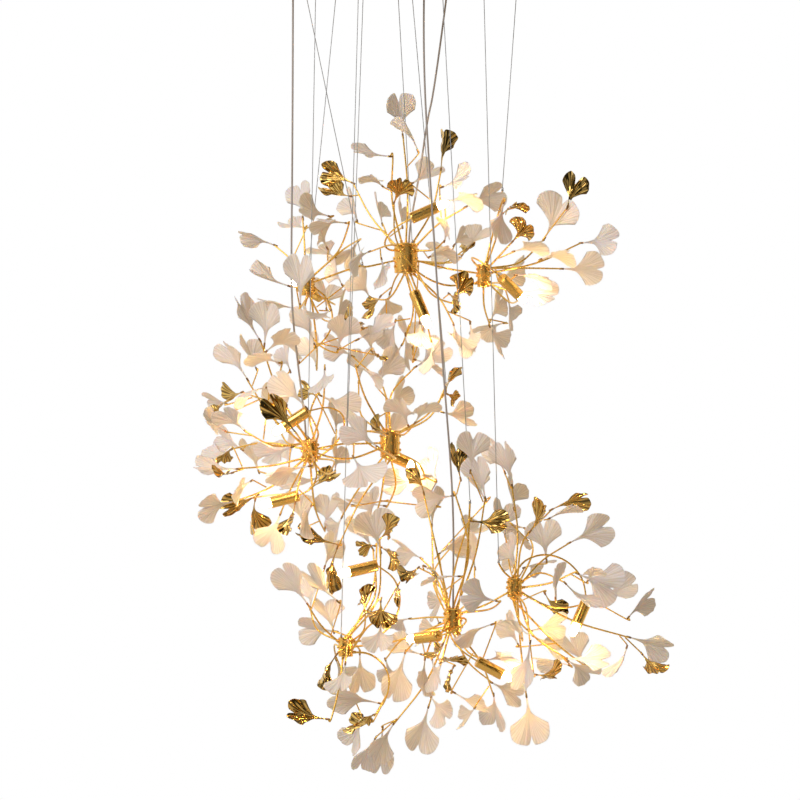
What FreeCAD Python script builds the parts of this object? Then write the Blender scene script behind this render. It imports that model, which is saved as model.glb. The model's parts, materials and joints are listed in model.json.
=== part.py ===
import FreeCAD, Part
import math
import os

V = FreeCAD.Vector

# ---- driving dimensions, all in mm; z = 0 is the ceiling, x to the right, -y towards the viewer ----
VIEW_TOP = 60.0          # how far below the ceiling the picture starts; drops below are from there
SWING = 0.8              # degrees each way that a tier may swing, front to back
ANCHOR_Z = -52.0         # the level where the wires leave their grippers, and the swing line
PLANE_Y = {"upper": 85.0, "middle": 0.0, "lower": -95.0}     # the depth of each tier's wires

PAN_R = 270.0
PAN_DEPTH = 40.0
PAN_WALL = 1.6
PLATE_X = 240.0
PLATE_Y = 130.0
PLATE_T = 3.0
PLATE_HOLE_X = 180.0
PLATE_HOLE_Y = 90.0
PLATE_HOLE_R = 3.25
CABLE_HOLE_R = 12.0
STUD_X = 105.0
STUD_R = 2.5

WIRE_R = 0.8
FLEX_R = 2.0
ROD_R = 1.8
ROD_SIDES = 4
TWIG_SIDES = 3
TWIG_R = 1.25
LEAF_T = 2.2
GILT_T = 1.2
LEAF_LENGTH = 80.0
LEAF_WIDTH = 58.0
GILT_LENGTH = 72.0
GILT_WIDTH = 48.0
HOLDER_R = 11.5
HOLDER_LENGTH = 58.0
SOCKET_R = 8.6
SOCKET_DEPTH = 22.0
BULB_R = 7.6
BULB_LENGTH = 46.0
SEAT_GAP = 0.05
TWIG_GAP = 0.2           # between a twig's foot and the rod that it is brazed to
CLEAR = 1.6              # room kept between any two pieces of one tier
SPREAD = 250.0           # how far a spray reaches from its hub
HOLDER_SIDES = 8
ELBOW = 6.0              # the last length of a twig that comes to its leaf from the side
FERRULE_R = 2.6
FERRULE_LENGTH = 8.0
WIRE_IN_GRIPPER = 6.0
GRIP_R = 6.0
GRIP_BORE = (WIRE_R + 0.3) / math.cos(math.pi / 6)
GRIP_DEPTH = 8.0
GLAND_HOLE_R = 5.0

LEAN = {"upper": 18.0, "middle": -1.0, "lower": 7.0}         # leaves set back, so that a tier hangs level
# hub name: tier, x, drop, depth from the tier's wires, radius, height, number of flats
HUBS = {
    "upper_centre": ("upper", 12, 515, 2, 24, 60, 12),
    "upper_left": ("upper", -186, 568, 0, 13, 44, 8),
    "upper_right": ("upper", 168, 550, 0, 13, 46, 8),
    "middle_left": ("middle", -180, 902, 0, 16, 44, 8),
    "middle_centre": ("middle", -20, 886, 0, 20, 50, 12),
    "lower_centre": ("lower", 105, 1238, 0, 18, 46, 12),
    "lower_right": ("lower", 228, 1173, 0, 15, 38, 8),
    "lower_left": ("lower", -108, 1291, 0, 15, 38, 8),
}


def P(bx, bd, tx, td, wide, d=0.0):
    """A porcelain leaf: stem end, far end, width as seen, depth nudge."""
    return ("porcelain", bx, bd, tx, td, wide, d)


def G(bx, bd, tx, td, wide, d=0.0):
    """A gilt leaf, given the same way."""
    return ("gilt", bx, bd, tx, td, wide, d)


# each rod: depth fraction (-1 front, +1 back), bow in degrees (None: it meets its leaf smoothly), leaves;
# the first leaf sits on the rod's tip and the others on twigs
SPRAYS = {
    "upper_centre": [
        (-0.1, None, [P(6, 268, -6, 186, 55), P(35, 300, 8, 232, 20)]),
        (0.2, None, [G(83, 336, 90, 256, 20), P(25, 362, 70, 335, 46)]),
        (-0.3, 10, [P(-20, 310, -95, 303, 24), P(-35, 372, -65, 348, 28)]),
        (-0.25, None, [P(132, 413, 206, 378, 52), P(84, 372, 143, 350, 40), P(95, 402, 160, 388, 38)]),
        (0.3, 12, [G(-95, 362, -155, 335, 48), G(-100, 388, -147, 381, 26)]),
        (-0.65, None, [P(-60, 505, -104, 526, 40), P(-38, 518, -28, 568, 36)]),
        (0.4, None, [P(-20, 585, -32, 632, 36), G(-40, 590, -62, 622, 20)]),
        (0.55, None, [P(5, 688, -30, 742, 38), P(-10, 640, -25, 695, 40), P(12, 668, 14, 722, 24)]),
        (-0.5, None, [P(62, 682, 70, 738, 30), P(40, 645, 45, 695, 56), P(30, 720, 82, 735, 16)]),
        (-0.25, None, [P(108, 648, 118, 702, 44), P(140, 645, 150, 708, 38)]),
        (-0.75, None, [G(106, 602, 138, 552, 48), G(98, 588, 124, 612, 30)]),
        (-0.35, None, [P(88, 482, 98, 444, 34), P(60, 512, 105, 492, 42)]),
        (0.45, None, [P(133, 494, 170, 447, 44), P(110, 487, 128, 462, 32), G(126, 506, 142, 484, 24)]),
        (0.75, None, [P(-35, 442, -46, 392, 22), P(-88, 436, -98, 384, 28), P(6, 448, 0, 404, 20)]),
        (0.75, None, [P(-62, 592, -88, 540, 46), P(-26, 648, -22, 702, 44)]),
        (0.85, None, [P(120, 510, 68, 492, 40), P(26, 694, 12, 646, 44)]),
    ],
    "upper_left": [
        (0.0, None, [P(-196, 434, -203, 366, 48), P(-141, 430, -208, 414, 50)]),
        (0.15, -14, [P(-252, 489, -321, 463, 24), P(-192, 452, -230, 443, 26)]),
        (-0.4, None, [P(-107, 447, -172, 441, 24), P(-146, 494, -166, 450, 42)]),
        (0.55, None, [P(-84, 478, -118, 524, 52), P(-132, 510, -172, 490, 38)]),
        (-0.8, 30, [P(-199, 612, -195, 514, 55)]),
        (0.0, None, [P(-222, 570, -303, 545, 24), P(-207, 618, -284, 600, 24)]),
        (0.6, None, [P(-128, 640, -112, 590, 30), P(-118, 568, -140, 520, 26), P(-148, 616, -152, 567, 50)]),
        (-0.35, None, [P(-172, 690, -198, 612, 38), P(-140, 620, -172, 645, 38), P(-204, 724, -209, 681, 30)]),
        (-0.2, None, [P(-125, 700, -108, 632, 60), P(-86, 678, -13, 640, 30), G(-75, 655, -115, 640, 26)]),
        (0.7, None, [P(-170, 732, -186, 672, 48), P(-54, 704, -72, 650, 44)]),
    ],
    "upper_right": [
        (-0.75, None, [P(208, 405, 190, 482, 40), G(205, 428, 237, 401, 20)]),
        (-0.4, None, [G(224, 484, 262, 442, 50), P(228, 503, 287, 489, 34)]),
        (0.1, None, [P(291, 475, 333, 395, 85), G(337, 412, 357, 352, 52, -26)]),
        (-0.1, -12, [P(364, 484, 437, 478, 58), P(283, 518, 344, 497, 40)]),
        (0.2, None, [P(326, 535, 408, 537, 62), P(202, 560, 246, 527, 44)]),
        (-0.3, None, [P(243, 584, 310, 590, 46), P(232, 551, 300, 553, 28)]),
        (0.35, None, [P(182, 650, 205, 698, 34), P(184, 640, 208, 588, 34), P(212, 645, 156, 656, 26)]),
        (-0.35, 62, [G(-12, 406, 8, 358, 50, -60)]),
        (0.6, None, [P(222, 600, 228, 642, 24)]),
        (0.8, None, [P(238, 594, 214, 542, 46)]),
    ],
    "middle_left": [
        (0.2, 16, [P(-306, 760, -352, 684, 38), P(-287, 737, -312, 682, 34), P(-222, 742, -240, 690, 34)]),
        (-0.4, 12, [P(-279, 680, -331, 599, 34), P(-271, 690, -262, 608, 55), P(-267, 704, -215, 662, 44)]),
        (-0.6, None, [P(-186, 816, -248, 750, 48)]),
        (-0.5, -14, [P(-150, 738, -152, 785, 46)]),
        (-0.95, None, [G(-206, 864, -262, 795, 48)]),
        (0.4, None, [G(-318, 784, -356, 802, 34), P(-350, 808, -384, 795, 26), G(-358, 830, -380, 822, 20)]),
        (-0.5, None, [P(-308, 862, -356, 818, 48), P(-346, 862, -386, 838, 34), P(-264, 776, -325, 788, 20)]),
        (0.35, None, [P(-340, 899, -399, 924, 30), P(-318, 900, -368, 868, 48)]),
        (0.0, None, [P(-324, 937, -409, 938, 32), G(-336, 898, -362, 916, 16), G(-335, 945, -366, 953, 16)]),
        (-0.2, None, [P(-330, 1003, -399, 1018, 50), G(-285, 990, -352, 1026, 42), P(-296, 962, -332, 985, 34)]),
        (0.3, None, [P(-240, 1028, -266, 1098, 62), G(-290, 1000, -304, 1058, 18)]),
        (-0.5, None, [G(-209, 1004, -218, 1064, 24), P(-175, 1010, -200, 1058, 36)]),
        (-0.8, None, [P(-213, 892, -276, 914, 44), P(-178, 932, -266, 944, 26)]),
        (0.8, None, [P(-150, 950, -238, 984, 26), G(-178, 975, -132, 950, 26)]),
        (0.7, None, [P(-128, 862, -134, 818, 36), G(-170, 792, -198, 772, 28)]),
        (0.5, None, [P(-130, 944, -126, 890, 34)]),
        (0.25, None, [P(-160, 790, -86, 826, 46)]),
        (0.6, None, [P(-250, 842, -262, 778, 44), P(-224, 936, -228, 880, 44)]),
        (0.55, None, [P(-284, 944, -306, 884, 40)]),
        (0.8, None, [P(-152, 1058, -138, 1000, 46), P(-192, 1052, -216, 1000, 44)]),
    ],
    "middle_centre": [
        (-0.15, 72, [P(-240, 727, -297, 708, 34)]),
        (-0.2, None, [P(-85, 735, -41, 753, 20), G(-56, 702, -38, 722, 14)]),
        (-0.5, None, [P(30, 846, 58, 800, 42), P(16, 852, -2, 796, 46)]),
        (0.0, None, [G(92, 784, 100, 736, 24), P(86, 824, 141, 838, 44), G(94, 788, 118, 800, 30)]),
        (-0.8, None, [P(-44, 893, -108, 846, 58), G(-24, 866, -62, 856, 36)]),
        (-0.95, None, [P(-92, 912, -58, 968, 84)]),
        (0.5, None, [P(45, 958, -32, 976, 46), P(72, 962, 62, 914, 36)]),
        (0.4, None, [P(-30, 1012, -98, 1004, 22), P(-95, 1012, -124, 1004, 24)]),
        (0.6, None, [P(-118, 1036, -140, 1080, 34)]),
        (0.2, None, [P(31, 733, 92, 696, 52), P(-45, 768, -8, 706, 50)]),
        (0.75, None, [P(-96, 712, -150, 682, 44), P(-12, 884, -26, 832, 34)]),
        (0.7, None, [P(-84, 762, -72, 702, 50), P(-22, 822, 10, 768, 46)]),
        (0.8, None, [P(-58, 1042, -66, 984, 50), P(72, 1012, 30, 966, 46)]),
        (-0.5, None, [G(-124, 1094, -156, 1178, 24), G(-122, 1088, -205, 1067, 28)]),
    ],
    "lower_left": [
        (-0.1, 14, [P(-183, 1207, -234, 1130, 56), P(-122, 1198, -190, 1138, 38)]),
        (0.3, None, [P(-128, 1263, -200, 1256, 52), P(-132, 1262, -152, 1204, 50)]),
        (-0.2, None, [G(-126, 1306, -165, 1362, 26)]),
        (-0.7, None, [P(-108, 1318, -118, 1376, 50)]),
        (0.35, None, [P(-80, 1306, -78, 1384, 50)]),
        (-0.2, 12, [G(-143, 1433, -222, 1424, 38)]),
        (0.1, None, [P(-40, 1405, -138, 1384, 42), G(-56, 1440, -98, 1455, 26), G(-52, 1426, -74, 1436, 14)]),
        (-0.5, None, [G(-68, 1218, -76, 1168, 36), G(-38, 1196, -38, 1250, 56)]),
        (-0.85, None, [P(-38, 1238, -43, 1297, 56), G(-4, 1166, -14, 1196, 14)]),
        (-0.3, None, [P(-38, 1100, -62, 1022, 78), G(-40, 1075, -8, 1042, 34), G(-38, 1092, -2, 1114, 26)]),
        (0.5, None, [G(-50, 1092, -78, 1088, 20)]),
        (0.45, None, [P(-54, 1098, -92, 1034, 52)]),
        (0.6, None, [P(-180, 1216, -176, 1158, 46), P(-150, 1134, -134, 1080, 44)]),
        (0.7, None, [P(-128, 1322, -110, 1374, 44), P(-78, 1440, -98, 1500, 44)]),
    ],
    "lower_centre": [
        (0.4, None, [P(11, 1304, -16, 1398, 56), P(44, 1308, -26, 1292, 36)]),
        (-0.35, None, [P(50, 1312, 44, 1378, 36), P(62, 1312, 76, 1364, 36)]),
        (-0.2, None, [P(57, 1408, 32, 1495, 62), P(60, 1388, 98, 1436, 54)]),
        (0.0, 14, [P(-11, 1443, -58, 1514, 44), P(-35, 1455, -42, 1543, 52), P(-48, 1472, -82, 1528, 44)]),
        (0.15, None, [P(186, 1388, 193, 1446, 46), P(108, 1382, 172, 1422, 16), P(148, 1412, 128, 1444, 20)]),
        (0.4, None, [P(183, 1364, 240, 1397, 48)]),
        (-0.7, None, [P(192, 1196, 120, 1180, 60)]),
        (0.3, None, [P(105, 991, 31, 1002, 60), G(121, 957, 106, 897, 34)]),
        (-0.2, -10, [P(169, 996, 152, 914, 50), P(140, 942, 146, 864, 62)]),
        (0.6, None, [G(47, 986, 34, 930, 22), P(78, 1108, 130, 1070, 34)]),
        (-0.45, 10, [G(143, 1040, 214, 1046, 44)]),
        (-0.3, None, [G(36, 1130, 8, 1154, 34), P(118, 1150, 48, 1148, 18), G(48, 1128, 76, 1140, 14)]),
        (0.5, None, [P(42, 1118, -4, 1094, 40)]),
        (-0.3, None, [P(172, 1316, 230, 1300, 44), P(184, 1245, 105, 1270, 22)]),
        (-0.7, None, [G(80, 1318, 118, 1302, 18), G(106, 1325, 86, 1358, 20), G(84, 1282, 70, 1310, 14)]),
        (0.5, None, [P(20, 1239, -28, 1248, 26), P(78, 1246, 42, 1278, 30)]),
        (0.85, None, [P(64, 1054, 68, 984, 50), P(172, 1000, 138, 944, 34)]),
        (0.8, None, [P(118, 1080, 166, 1056, 36), P(92, 1190, 60, 1226, 40)]),
        (0.75, None, [P(150, 1138, 142, 1084, 40)]),
        (0.6, None, [P(-30, 1320, -12, 1370, 40)]),
    ],
    "lower_right": [
        (0.25, None, [P(223, 972, 204, 886, 44), P(228, 1016, 222, 970, 34), P(208, 944, 182, 886, 30)]),
        (0.1, None, [P(337, 1085, 418, 1045, 62), P(292, 1120, 284, 1042, 66)]),
        (-0.3, None, [G(300, 1018, 368, 984, 28), G(258, 1060, 294, 1006, 34), P(296, 1036, 345, 1008, 24)]),
        (0.6, None, [P(250, 1058, 208, 1046, 28), P(224, 1050, 248, 1088, 32)]),
        (0.7, None, [P(236, 1150, 220, 1104, 28), P(250, 1138, 296, 1126, 18)]),
        (-0.2, -10, [P(352, 1144, 432, 1180, 86), P(372, 1160, 388, 1128, 40)]),
        (0.25, None, [P(398, 1200, 470, 1162, 46), P(456, 1234, 496, 1188, 32)]),
        (-0.5, None, [P(327, 1161, 376, 1214, 24), P(308, 1192, 306, 1128, 26)]),
        (0.35, None, [P(268, 1272, 322, 1304, 42), P(262, 1262, 326, 1244, 50), G(290, 1186, 318, 1238, 24)]),
        (-0.1, -12, [P(455, 1272, 538, 1296, 50), G(481, 1304, 516, 1350, 42), P(450, 1291, 430, 1348, 24)]),
        (0.15, None, [P(330, 1314, 416, 1318, 42), P(334, 1320, 386, 1352, 50), P(338, 1330, 276, 1312, 22)]),
        (-0.5, None, [P(256, 1277, 243, 1372, 38), G(268, 1342, 314, 1346, 30)]),
        (-0.1, None, [P(251, 1388, 264, 1482, 72)]),
        (-0.7, None, [P(240, 1270, 222, 1228, 42)]),
        (0.7, None, [P(212, 1072, 206, 1010, 48), P(228, 1132, 214, 1082, 40)]),
        (0.75, None, [P(372, 1332, 338, 1282, 50), P(236, 1290, 210, 1238, 46)]),
    ],
}

# lampholders: hub, back x, drop, mouth x, drop, depth fraction, towards the viewer (mm) at the mouth
LAMPS = [
    ("upper_centre", 22, 438, 76, 414, -0.55, -4),
    ("upper_centre", 28, 583, 47, 630, -0.45, 14),
    ("upper_right", 203, 556, 234, 586, -0.5, -30),
    ("upper_left", -160, 592, -190, 576, 0.45, -20),
    ("middle_left", -183, 822, -238, 858, -0.55, 0),
    ("middle_left", -202, 991, -260, 1006, 0.05, 0),
    ("middle_centre", -36, 904, 14, 926, 0.4, 0),
    ("lower_left", -45, 1128, -97, 1140, -0.2, 10),
    ("lower_centre", 152, 1316, 198, 1341, -0.4, -10),
    ("lower_centre", 78, 1266, 34, 1272, -0.2, -34),
    ("lower_right", 372, 1200, 352, 1245, 0.15, 20),
]

# wires: tier, x at the top of the picture, x of the lower end, its drop (None: on the hub), what carries it, hub
WIRES = [
    ("upper", -130, -184, None, "hub", "upper_left"),
    ("upper", -186, -76, 530, "tie", "upper_left"),
    ("upper", -3, 24, None, "hub", "upper_centre"),
    ("upper", 233, 206, 380, "hanger", "upper_right"),
    ("middle", -169, -184, None, "hub", "middle_left"),
    ("middle", -74, -106, 886, "tie", "middle_left"),
    ("middle", 25, 92, 772, "hanger", "middle_centre"),
    ("lower", -83, -117, None, "hub", "lower_left"),
    ("lower", 85, 139, 1006, "hanger", "lower_centre"),
    ("lower", 167, 196, 1124, "hanger", "lower_right"),
]
ASIDE = {1: 5.0}         # this wire passes behind the one that it crosses, by so much at its top
TIES = [
    ("upper_left", "upper_centre", -16),
    ("upper_centre", "upper_right", -12),
    ("middle_left", "middle_centre", -10),
    ("lower_left", "lower_centre", -26),
    ("lower_centre", "lower_right", -20),
]

# flexes: tier, hub, points down the picture (x, drop)
FLEXES = [
    ("upper", "upper_centre", [(94, -20), (70, 172), (54, 242), (44, 316), (33, 380)]),
    ("middle", "middle_left", [(-214, -20), (-215, 300), (-218, 560), (-213, 660)]),
    ("lower", "lower_centre", [(48, -20), (45, 126), (62, 396), (84, 720), (107, 1000)]),
]


def drop(d):
    return -d - VIEW_TOP


def hub_centre(name):
    tier, x, d, dy = HUBS[name][:4]
    return V(x, PLANE_Y[tier] + dy, drop(d))


def unit(v):
    return v * (1.0 / v.Length)


def solid_from(faces):
    """A closed solid with flat faces from loops of points."""
    made = [Part.Face(Part.makePolygon(loop + [loop[0]])) for loop in faces]
    shell = Part.makeShell(made)
    shell.sewShape()
    solid = Part.Solid(shell)
    if solid.Volume < 0:
        solid.reverse()
    return solid


def ring(centre, direction, radius, sides, up=None):
    """Corners round a point, square to a direction."""
    ref = up if up is not None else V(0, 1, 0)
    if abs(direction.dot(ref)) > 0.9:
        ref = V(1, 0, 0)
    a = unit(direction.cross(ref))
    b = unit(a.cross(direction))
    out = []
    for k in range(sides):
        t = 2 * math.pi * (k + 0.5) / sides
        out.append(centre + a * (radius * math.cos(t)) + b * (radius * math.sin(t)))
    return out


def onto_plane(points, direction, at, normal):
    """Slide points along a direction until they lie in a plane."""
    return [p + direction * ((at - p).dot(normal) / direction.dot(normal)) for p in points]


def pipe(path, radius, sides, start_normal=None, end_normal=None):
    """A straight-sided pipe along a path, mitred at its corners, its ends cut to given planes."""
    dirs = [unit(path[i + 1] - path[i]) for i in range(len(path) - 1)]
    first = ring(path[0], dirs[0], radius, sides)
    rings = [onto_plane(first, dirs[0], path[0], start_normal or dirs[0])]
    for i in range(1, len(path) - 1):
        mitre = unit(dirs[i - 1] + dirs[i])
        rings.append(onto_plane(rings[-1], dirs[i - 1], path[i], mitre))
    rings.append(onto_plane(rings[-1], dirs[-1], path[-1], end_normal or dirs[-1]))
    faces = [list(reversed(rings[0])), rings[-1]]
    for a, b in zip(rings, rings[1:]):
        for k in range(sides):
            n = (k + 1) % sides
            faces.append([a[k], a[n], b[n], b[k]])
    return solid_from(faces)


def prism(lower, upper):
    faces = [list(reversed(lower)), upper]
    count = len(lower)
    for k in range(count):
        n = (k + 1) % count
        faces.append([lower[k], lower[n], upper[n], upper[k]])
    return solid_from(faces)


def arc(start, way, end, steps_per_turn=30.0):
    """Points along the one circular arc that leaves start in a direction and reaches end."""
    chord = end - start
    length = chord.Length
    c = chord * (1.0 / length)
    cos_half = max(-1.0, min(1.0, way.dot(c)))
    half = math.acos(cos_half)
    if half < 0.03:
        return [start, end]
    side = unit(way - c * cos_half)
    radius = length / (2 * math.sin(half))
    count = max(2, int(round(2 * math.degrees(half) / steps_per_turn)))
    out = []
    for i in range(count + 1):
        t = 2 * half * i / count
        along = radius * (math.sin(half) - math.sin(half - t))
        off = radius * (math.cos(half - t) - math.cos(half))
        out.append(start + c * along + side * off)
    out[-1] = end
    return out


# ---- a register of small balls that stand for the pieces placed so far ----
CELL = 14.0
placed = {}


def cells_near(p):
    i = int(math.floor(p.x / CELL))
    j = int(math.floor(p.z / CELL))
    for a in (i - 1, i, i + 1):
        for b in (j - 1, j, j + 1):
            for item in placed.get((a, b), ()):
                yield item


def register(balls, tier, owner):
    for p, r in balls:
        key = (int(math.floor(p.x / CELL)), int(math.floor(p.z / CELL)))
        placed.setdefault(key, []).append((p.x, p.y, p.z, r, tier, owner))


def free(balls, tier, skip=(), clear=CLEAR):
    """True when none of the balls comes near a placed one; other tiers need room to swing."""
    for p, r in balls:
        for x, y, z, s, other, owner in cells_near(p):
            if owner in skip:
                continue
            dx = p.x - x
            dz = p.z - z
            dy = p.y - y
            reach = r + s + clear
            if other == tier:
                if dx * dx + dy * dy + dz * dz < reach * reach:
                    return False
            else:
                room = 2 * math.sin(math.radians(SWING)) * (-p.z)
                rise = 2 * math.sin(math.radians(SWING)) * 120.0
                if abs(dx) < reach and abs(dz) < reach + rise and abs(dy) < r + s + room + 2.0:
                    return False
    return True


def balls_along(path, radius, step=7.0, trim_start=0.0, trim_end=0.0):
    lengths = [(path[i + 1] - path[i]).Length for i in range(len(path) - 1)]
    total = sum(lengths)
    out = []
    at = trim_start
    while at <= total - trim_end:
        left = at
        for i, piece in enumerate(lengths):
            if left <= piece or i == len(lengths) - 1:
                out.append((path[i] + (path[i + 1] - path[i]) * (left / piece), radius))
                break
            left -= piece
        at += step
    return out


# ---- leaves ----
def leaf_frame(kind, bx, bd, tx, td, wide, index, front, depth_y):
    """Stem end, axis, face normal, length and width of a leaf from how it looks."""
    nominal = LEAF_LENGTH if kind == "porcelain" else GILT_LENGTH
    broad = LEAF_WIDTH if kind == "porcelain" else GILT_WIDTH
    seen = math.hypot(tx - bx, td - bd)
    length = max(seen, min(nominal, seen / 0.58))
    width = max(wide * 1.02, broad * min(1.0, length / nominal))
    tilt = math.sqrt(max(0.0, length * length - seen * seen))
    side = -1.0 if front < 0 or (front == 0 and index % 2) else 1.0
    axis = unit(V(tx - bx, side * tilt, -(td - bd)))
    view = V(0, -1, 0)
    normal = unit(view - axis * view.dot(axis))
    across = axis.cross(normal)
    roll = math.acos(min(1.0, wide / width)) * (1 if index % 2 else -1)
    face = normal * math.cos(roll) + across * math.sin(roll)
    base = V(bx, depth_y, drop(bd))
    return base, axis, face, length, width


def leaf_points(frame, index, kind):
    """Front outline of a leaf: stem end, throat, shoulders, lobe tips and the notch between them."""
    base, axis, face, length, width = frame
    across = axis.cross(face)
    cup = width * (0.10 + 0.035 * (index * 7 % 5))
    curl = length * 0.022 * ((index * 5 % 7) - 3)
    if kind == "gilt":
        cup *= 1.5
    notch = 0.86 - 0.05 * (index * 3 % 4)

    def at(u, v, lift):
        bend = curl * u * u
        return base + axis * (u * length) + across * v + face * (lift + bend)

    h = 1.25
    lean = 0.03 * ((index % 3) - 1) * width
    return [
        at(0.0, -h, 0), at(0.33, -2.4, 0), at(0.63, -0.50 * width, cup), at(0.99, -0.30 * width + lean, cup * 0.5),
        at(notch, lean, cup * 0.15), at(0.975, 0.31 * width + lean, cup * 0.5), at(0.61, 0.50 * width, cup),
        at(0.33, 2.4, 0), at(0.0, h, 0)]


def leaf_solid(frame, index, kind):
    top = leaf_points(frame, index, kind)
    thick = LEAF_T if kind == "porcelain" else GILT_T
    low = [p - frame[2] * thick for p in top]
    fan = [(1, 7, 4), (1, 4, 3), (1, 3, 2), (7, 5, 4), (7, 6, 5), (0, 8, 1), (8, 7, 1)]
    faces = [[top[a], top[b], top[c]] for a, b, c in fan]
    faces += [[low[c], low[b], low[a]] for a, b, c in fan]
    for k in range(9):
        n = (k + 1) % 9
        faces.append([top[n], top[k], low[k], low[n]])
    return solid_from(faces)


def leaf_balls(frame, index, kind):
    base, axis, face, length, width = frame
    pts = leaf_points(frame, index, kind)
    mid = -face * (0.5 * LEAF_T)
    out = [(base + axis * (length * t) + mid, 2.2) for t in (0.1, 0.22)]
    throat = (pts[1] + pts[7]) * 0.5
    for tip in (pts[2], pts[3], pts[4], pts[5], pts[6]):
        for t in (0.3, 0.62, 0.93):
            out.append((throat + (tip - throat) * t + mid, 5.0))
    for a, b in ((2, 3), (5, 6)):
        edge = (pts[a] + pts[b]) * 0.5
        out.append((throat + (edge - throat) * 0.86 + mid, 4.5))
    return out


# ---- hubs and their seats ----
seats = {}


def hub_seats(name):
    tier, x, d, dy, radius, height, flats = HUBS[name]
    c = hub_centre(name)
    flat_r = radius * math.cos(math.pi / flats)
    out = []
    rows = int((height - 10) / 10.0) + 1
    for row in range(rows):
        z = (row - (rows - 1) / 2.0) * 10.0
        for k in range(flats):
            t = 2 * math.pi * k / flats
            n = V(math.cos(t), math.sin(t), 0)
            out.append([c + n * (flat_r + SEAT_GAP) + V(0, 0, z), n, False])
    for sign in (1, -1):
        for k in range(5):
            t = 2 * math.pi * (k + 0.25) / 5
            off = V(math.cos(t), math.sin(t), 0) * (0.62 * flat_r)
            out.append([c + off + V(0, 0, sign * (height / 2.0 + SEAT_GAP)), V(0, 0, sign), False])
    return out


def hub_solid(name):
    tier, x, d, dy, radius, height, flats = HUBS[name]
    c = hub_centre(name)
    pts = []
    for k in range(flats):
        t = 2 * math.pi * (k + 0.5) / flats
        pts.append(V(radius * math.cos(t), radius * math.sin(t), 0))
    return prism([c + p - V(0, 0, height / 2.0) for p in pts], [c + p + V(0, 0, height / 2.0) for p in pts])


def hub_balls(name):
    tier, x, d, dy, radius, height, flats = HUBS[name]
    c = hub_centre(name)
    out = []
    z = -height / 2.0 + 4
    while z <= height / 2.0 - 3:
        for k in range(8):
            t = 2 * math.pi * k / 8
            out.append((c + V(math.cos(t), math.sin(t), 0) * (radius - 4.5) + V(0, 0, z), 5.0))
        z += 8.0
    return out


def turn_toward(a, b, degrees):
    """Unit vector a turned towards b by up to some degrees."""
    angle = math.acos(max(-1.0, min(1.0, a.dot(b))))
    most = math.radians(degrees)
    if angle <= most or angle < 1e-4:
        return b
    side = unit(b - a * a.dot(b))
    return a * math.cos(most) + side * math.sin(most)


def rod_path(seat, end, axis, bow, most=34.0):
    """A rod from a seat to a point: bowed in the picture, or arriving along the leaf's axis."""
    start = seat[0]
    chord = unit(end - start)
    if bow is not None:
        t = math.radians(bow)
        way = V(chord.x * math.cos(t) - chord.z * math.sin(t), chord.y, chord.x * math.sin(t) + chord.z * math.cos(t))
        return arc(start, unit(way), end)
    arrive = turn_toward(chord, axis, most)
    back = arc(end, arrive * -1.0, start)
    back.reverse()
    return back


def choose_seat(hub, end, axis, bow, tier, radius, skip, count=9, most=34.0):
    """Free seats that suit a rod, best first, with the rod's path from each."""
    ranked = []
    for seat in seats[hub]:
        if seat[2]:
            continue
        path = rod_path(seat, end, axis, bow, most)
        way = unit(path[1] - path[0])
        lean = math.degrees(math.acos(max(-1.0, min(1.0, way.dot(seat[1])))))
        if lean > 52.0:
            continue
        ranked.append((lean, len(ranked), seat, path))
    ranked.sort(key=lambda r: (r[0], r[1]))
    for lean, _, seat, path in ranked[:count]:
        balls = balls_along(path, radius, trim_start=7.0, trim_end=6.0)
        if free(balls, tier, skip=skip + ((hub, "hub"),)):
            yield seat, path, balls
    return


def shift_steps(most, step):
    yield 0.0
    k = 1
    while k * step <= most:
        yield k * step
        yield -k * step
        k += 1


def meet_leaf(path, axis):
    """The path up to its seat under a leaf's stem end, with a short elbow where it comes in from the side."""
    end = path[-1] - axis * SEAT_GAP
    last = unit(path[-1] - path[-2])
    if last.dot(axis) > 0.7:
        return path[:-1] + [end]
    return path[:-1] + [end - axis * ELBOW, end]


trouble = []
nodes = {}
mass = {}
kept = {}
DENSITY = {"brass": 8.5e-6, "porcelain": 2.3e-6, "steel": 7.9e-6, "glass": 2.5e-6, "cable": 3.0e-6}


def fits(shapes, tier):
    """True when none of the new solids shares room with a kept one of its tier, or with another new one."""
    boxes = [(s, s.BoundBox) for s in shapes]
    for i, (shape, box) in enumerate(boxes):
        for other, near in kept.get(tier, []) + boxes[:i]:
            if box.intersect(near) and shape.common(other).Volume > 0.001:
                return False
    return True


def add(node, shape, tier=None, stuff="brass"):
    nodes.setdefault(node, []).append(shape)
    if tier:
        kept.setdefault(tier, []).append((shape, shape.BoundBox))
        m = shape.Volume * DENSITY[stuff]
        total = mass.setdefault(tier, [0.0, 0.0, 0.0, 0.0])
        c = shape.CenterOfMass
        total[0] += m
        total[1] += m * c.x
        total[2] += m * c.y
        total[3] += m * c.z


def depth_of(hub, bx, bd, front):
    c = hub_centre(hub)
    r = math.hypot(bx - c.x, drop(bd) - c.z)
    return c.y + LEAN[HUBS[hub][0]] + front * math.sqrt(max(SPREAD * SPREAD - r * r, 70.0 * 70.0))


# ---- wires, flexes and hubs go in first ----
def wire_top(index):
    """Where a wire leaves its gripper."""
    tier, x0, x1, d1, carried, hub = WIRES[index]
    y = PLANE_Y[tier]
    low = V(x1, y, hub_centre(hub).z + HUBS[hub][5] / 2.0 + SEAT_GAP if d1 is None else drop(d1))
    high = V(x0, y + ASIDE.get(index, 0.0), drop(0))
    way = unit(high - low)
    return low + way * ((ANCHOR_Z - low.z) / way.z), low, way


for name in HUBS:
    seats[name] = hub_seats(name)
    register(hub_balls(name), HUBS[name][0], (name, "hub"))
    add(HUBS[name][0] + "_hubs", hub_solid(name), HUBS[name][0])

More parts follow.
